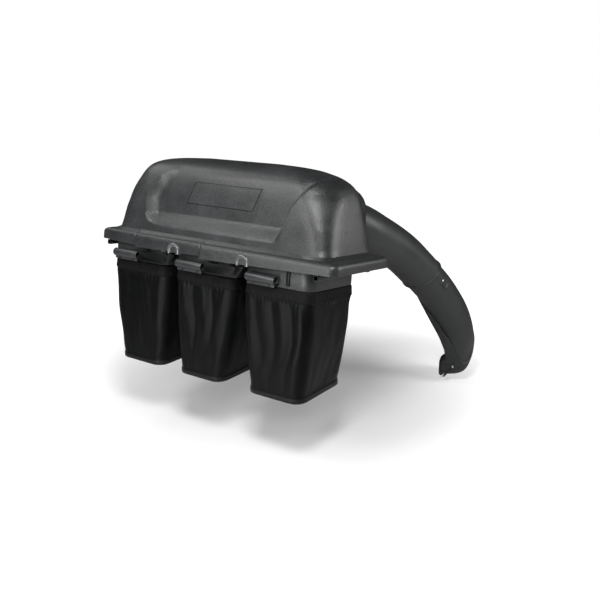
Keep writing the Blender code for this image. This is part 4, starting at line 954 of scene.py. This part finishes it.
# The moulded pieces, by slot: name, dark and light colour, roughness, grain and its depth, gloss, speck
MOULDED = {
    "hood_plastic": ("moulded_polyethylene_dark_grey", "#151616", "#373839", 0.38, 0.0034, 0.90, 0.50, 0.80),
    "grip_plastic": ("moulded_polyamide_grey", "#242526", "#2e2f30", 0.34, 0.0014, 0.15, 0.50, 0.45),
    "chute_plastic": ("blow_moulded_polyethylene", "#252627", "#2e2f30", 0.44, 0.0022, 0.25, 0.50, 0.45),
    "boot_plastic": ("blow_moulded_boot", "#1b1c1d", "#232425", 0.42, 0.0022, 0.20, 0.50, 0.45),
    "tray_plastic": ("moulded_tray_plastic", "#060607", "#0a0b0c", 0.42, 0.0016, 0.15, 0.25, 0.45),
    "black_plastic": ("moulded_polyamide_black", "#040405", "#070808", 0.36, 0.0012, 0.15, 0.25, 0.45),
    "lever_plastic": ("moulded_lever_plastic", "#030304", "#060607", 0.36, 0.0012, 0.10, 0.12, 0.45),
    # The hood's plastic on the arches, drawn lighter and a little glossier: the lighter colour is a painted
    # highlight for the light their rounded rims catch
    "arch_highlight_plastic": ("moulded_polyethylene_painted_highlight", "#454647", "#565758", 0.27, 0.0034, 0.10, 0.80, 0.45),
}
FINISH = {slot: moulded_polyethylene(*values) for slot, values in MOULDED.items()} | {
    "bag_cloth": woven_polyester("woven_coated_polyester"),
    "dark_fastener": plated_steel("blackened_fastener", "#2a2a2b", 0.4),
    "rubber": black_rubber("vulcanised_rubber"),
    "black_painted_steel": powder_coat("powder_coated_steel_black", "#151617", 0.38),
    "zinc_plated_steel": plated_steel("zinc_plated_sheet_steel", "#a9aaa8", 0.38),
    "bright_steel": plated_steel("bright_zinc_plated_fastener", "#c4c5c4", 0.25),
}
# How far the edges of a node are rounded, by its name without its last word, where it isn't EDGE
EDGE = 0.0006
EDGES = {"mount": 0.0015, "bag_tray": 0.0008}
EDGES |= dict.fromkeys(("arm_inner", "arm_outer", "post", "front", "cross"), 0.0)


def dress(piece, slot, body, *nodes, finish=None):
    """Gives a piece the finish of its slot, or the finish named instead, puts it under its body, and hides
    the CAD nodes that it stands for.
    """
    piece.data.materials.clear()
    piece.data.materials.append(FINISH[finish or slot])
    piece.data.polygons.foreach_set("material_index", np.zeros(len(piece.data.polygons), int))
    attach(piece, body)
    if nodes:
        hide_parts(*nodes)
    return piece


# Building


def main():
    """Makes each surface of its own form, and then a finer copy of every other node."""
    record = frame["record"]
    slots = {entry["node"]: entry["material_slot"] for entry in record["subparts"]}
    home = {name: body for body, names in record["behaviour"]["bodies"].items() for name in names}

    dress(make_hood(), "hood_plastic", "hood", "hood_shell")
    dress(make_inlet_frame(), "hood_plastic", "hood")
    # The panel's border is drawn in black plastic: painted shade for the dark line of the groove round the
    # panel.
    dress(make_panel(), "black_plastic", "hood")
    for side, centre in zip(("left", "right"), ARCHES):
        # The arches' rims take the hood's plastic drawn lighter: a painted highlight for the light on their
        # round edges.
        dress(make_arch(f"lip_arch_{side}", centre), "hood_plastic", "hood", finish="arch_highlight_plastic")
        dress(arch_back(f"arch_web_{side}", centre), "hood_plastic", "hood")
    upper, lower, boot = make_chute()
    pocket = wall(chute_patch("chute_pocket", POCKET, 0.062, 0.042, 0.0055, 0.20), 0.0010)
    dress(pocket, "chute_plastic", "frame")
    place = lower_points(np.array([BUTTON[0]]), np.array([BUTTON[1]]))[0]
    out = place - chute_path(np.array([BUTTON[0]]))[0][0]
    dress(button("chute_button", place + out * 0.025, out, 0.0065, 0.003), "bright_steel", "frame")
    height = np.interp(PLUG[1], HOOD_ROWS[:, 2], HOOD_ROWS[:, 0])
    crown = lean([(PLUG[0], PLUG[1] - 0.01, height), (PLUG[0], PLUG[1], height + 0.1)])
    dress(button("crown_plug", crown[0], crown[1] - crown[0], 0.007, 0.0016), "black_plastic", "hood")
    dress(upper, "chute_plastic", "frame", "chute_upper")
    dress(lower, "chute_plastic", "frame", "chute_lower")
    dress(boot, "boot_plastic", "frame")
    dress(refine("deck_adapter", EDGE), "boot_plastic", "frame", "deck_adapter")
    for name, centre, bottom in BAGS:
        cloth = dress(make_bag(name, centre, bottom), "bag_cloth", "frame", f"bag_cloth_{name}")
    done = {"hood_shell", "chute_upper", "chute_lower", "deck_adapter"}
    done |= {f"bag_cloth_{name}" for name, _, _ in BAGS}
    for name in sorted(set(frame["nodes"]) - done):
        # The grip screws are drawn in a dark steel instead of their slot's bright steel.
        finish = "dark_fastener" if name.startswith("grip_screw") else slots[name]
        copy = refine(name, EDGES.get(name.rsplit("_", 1)[0], EDGE))
        dress(copy, slots[name], home[name], name, finish=finish)


# Floor, lamps and camera

FLOOR_HALF, FLOOR_Z = 9.0, -0.38
# Every lamp is square, and turned to the same place: its name, place, side and watts
LAMPS_AT = (0.1, -0.3, 0.6)
LAMPS = (
    ("key", (1.2, -1.7, 2.2), 0.7, 55.0),
    ("rear", (-0.6, -3.0, 1.9), 0.9, 32.0),
    ("low", (0.25, -2.95, 0.4), 0.6, 34.0),
    ("left", (-0.9, -1.7, 1.9), 0.6, 13.0),
    ("crown", (-1.6, -0.5, 2.1), 1.2, 11.0),
    ("front", (2.4, 1.2, 1.0), 1.0, 30.0),
)
CAMERA_PLACE, CAMERA_TURN, CAMERA_DOWN = (2.332, -3.0607, 1.3061), 0.6153, 0.2856
SENSOR, FOCAL_PIXELS, FRAME_PIXELS = 36.0, 794.04, 600


def studio():
    """Pale floor, soft lamps on all sides but mostly behind the hood and above it, and the camera at the
    photograph's angle."""
    corners = [[(x, y, FLOOR_Z) for x in (-FLOOR_HALF, FLOOR_HALF)] for y in (-FLOOR_HALF, FLOOR_HALF)]
    floor = surface("floor", np.array(corners), around=False)
    pale, tree, shader = new_material("painted_studio_floor", "#fafafa", 0.9)
    shader.inputs["Specular IOR Level"].default_value = 0.1
    # The floor shows as brightly lit paper, brighter away from the object, which gets only what the lamps
    # leave on it.
    shader.inputs["Emission Color"].default_value = (1, 1, 1, 1)
    seen = node(tree, "LightPath").outputs["Is Camera Ray"]
    on_floor = node(tree, "TexCoord").outputs["Object"]
    away = node(tree, "VectorMath", {"operation": "LENGTH"}, i0=on_floor).outputs["Value"]
    smooth = {"interpolation_type": "SMOOTHSTEP"}
    lit = node(tree, "MapRange", smooth, Value=away, i1=0.6, i2=2.0, i3=0.10, i4=1.0).outputs[0]
    glow = node(tree, "Math", MULTIPLY, i0=seen, i1=lit)
    tree.links.new(glow.outputs[0], shader.inputs["Emission Strength"])
    shade = node(tree, "MapRange", Value=seen, i3=0.70, i4=0.80).outputs[0]
    tone = node(tree, "CombineColor", Red=shade, Green=shade, Blue=shade)
    tree.links.new(tone.outputs[0], shader.inputs["Base Color"])
    floor.data.materials.append(pale)
    world = bpy.data.worlds.new("studio")
    bpy.context.scene.world = world
    world.use_nodes = True
    tree = world.node_tree
    # A bright backdrop, and little light from it: the lamps do the lighting.
    seen = node(tree, "LightPath").outputs["Is Camera Ray"]
    level = node(tree, "MapRange", Value=seen, i3=0.05, i4=1.0)
    background = tree.nodes["Background"]
    background.inputs[0].default_value = (1, 1, 1, 1)
    tree.links.new(level.outputs[0], background.inputs[1])
    for name, place, size, power in LAMPS:
        light = bpy.data.lights.new(name, "AREA")
        light.energy, light.size = power, size
        lamp = bpy.data.objects.new(name, light)
        lamp.location = place
        lamp.rotation_euler = (Vector(LAMPS_AT) - Vector(place)).to_track_quat("-Z", "Y").to_euler()
        bpy.context.scene.collection.objects.link(lamp)
    bpy.context.scene.view_settings.view_transform = "Standard"
    eye = bpy.data.cameras.new("camera")
    eye.sensor_width = SENSOR
    eye.lens = FOCAL_PIXELS / FRAME_PIXELS * SENSOR
    camera = bpy.data.objects.new("camera", eye)
    turn = Matrix.Rotation(CAMERA_TURN, 4, "Z") @ Matrix.Rotation(math.pi / 2 - CAMERA_DOWN, 4, "X")
    camera.matrix_world = Matrix.Translation(CAMERA_PLACE) @ turn
    bpy.context.scene.collection.objects.link(camera)
    bpy.context.scene.camera = camera


main()
studio()
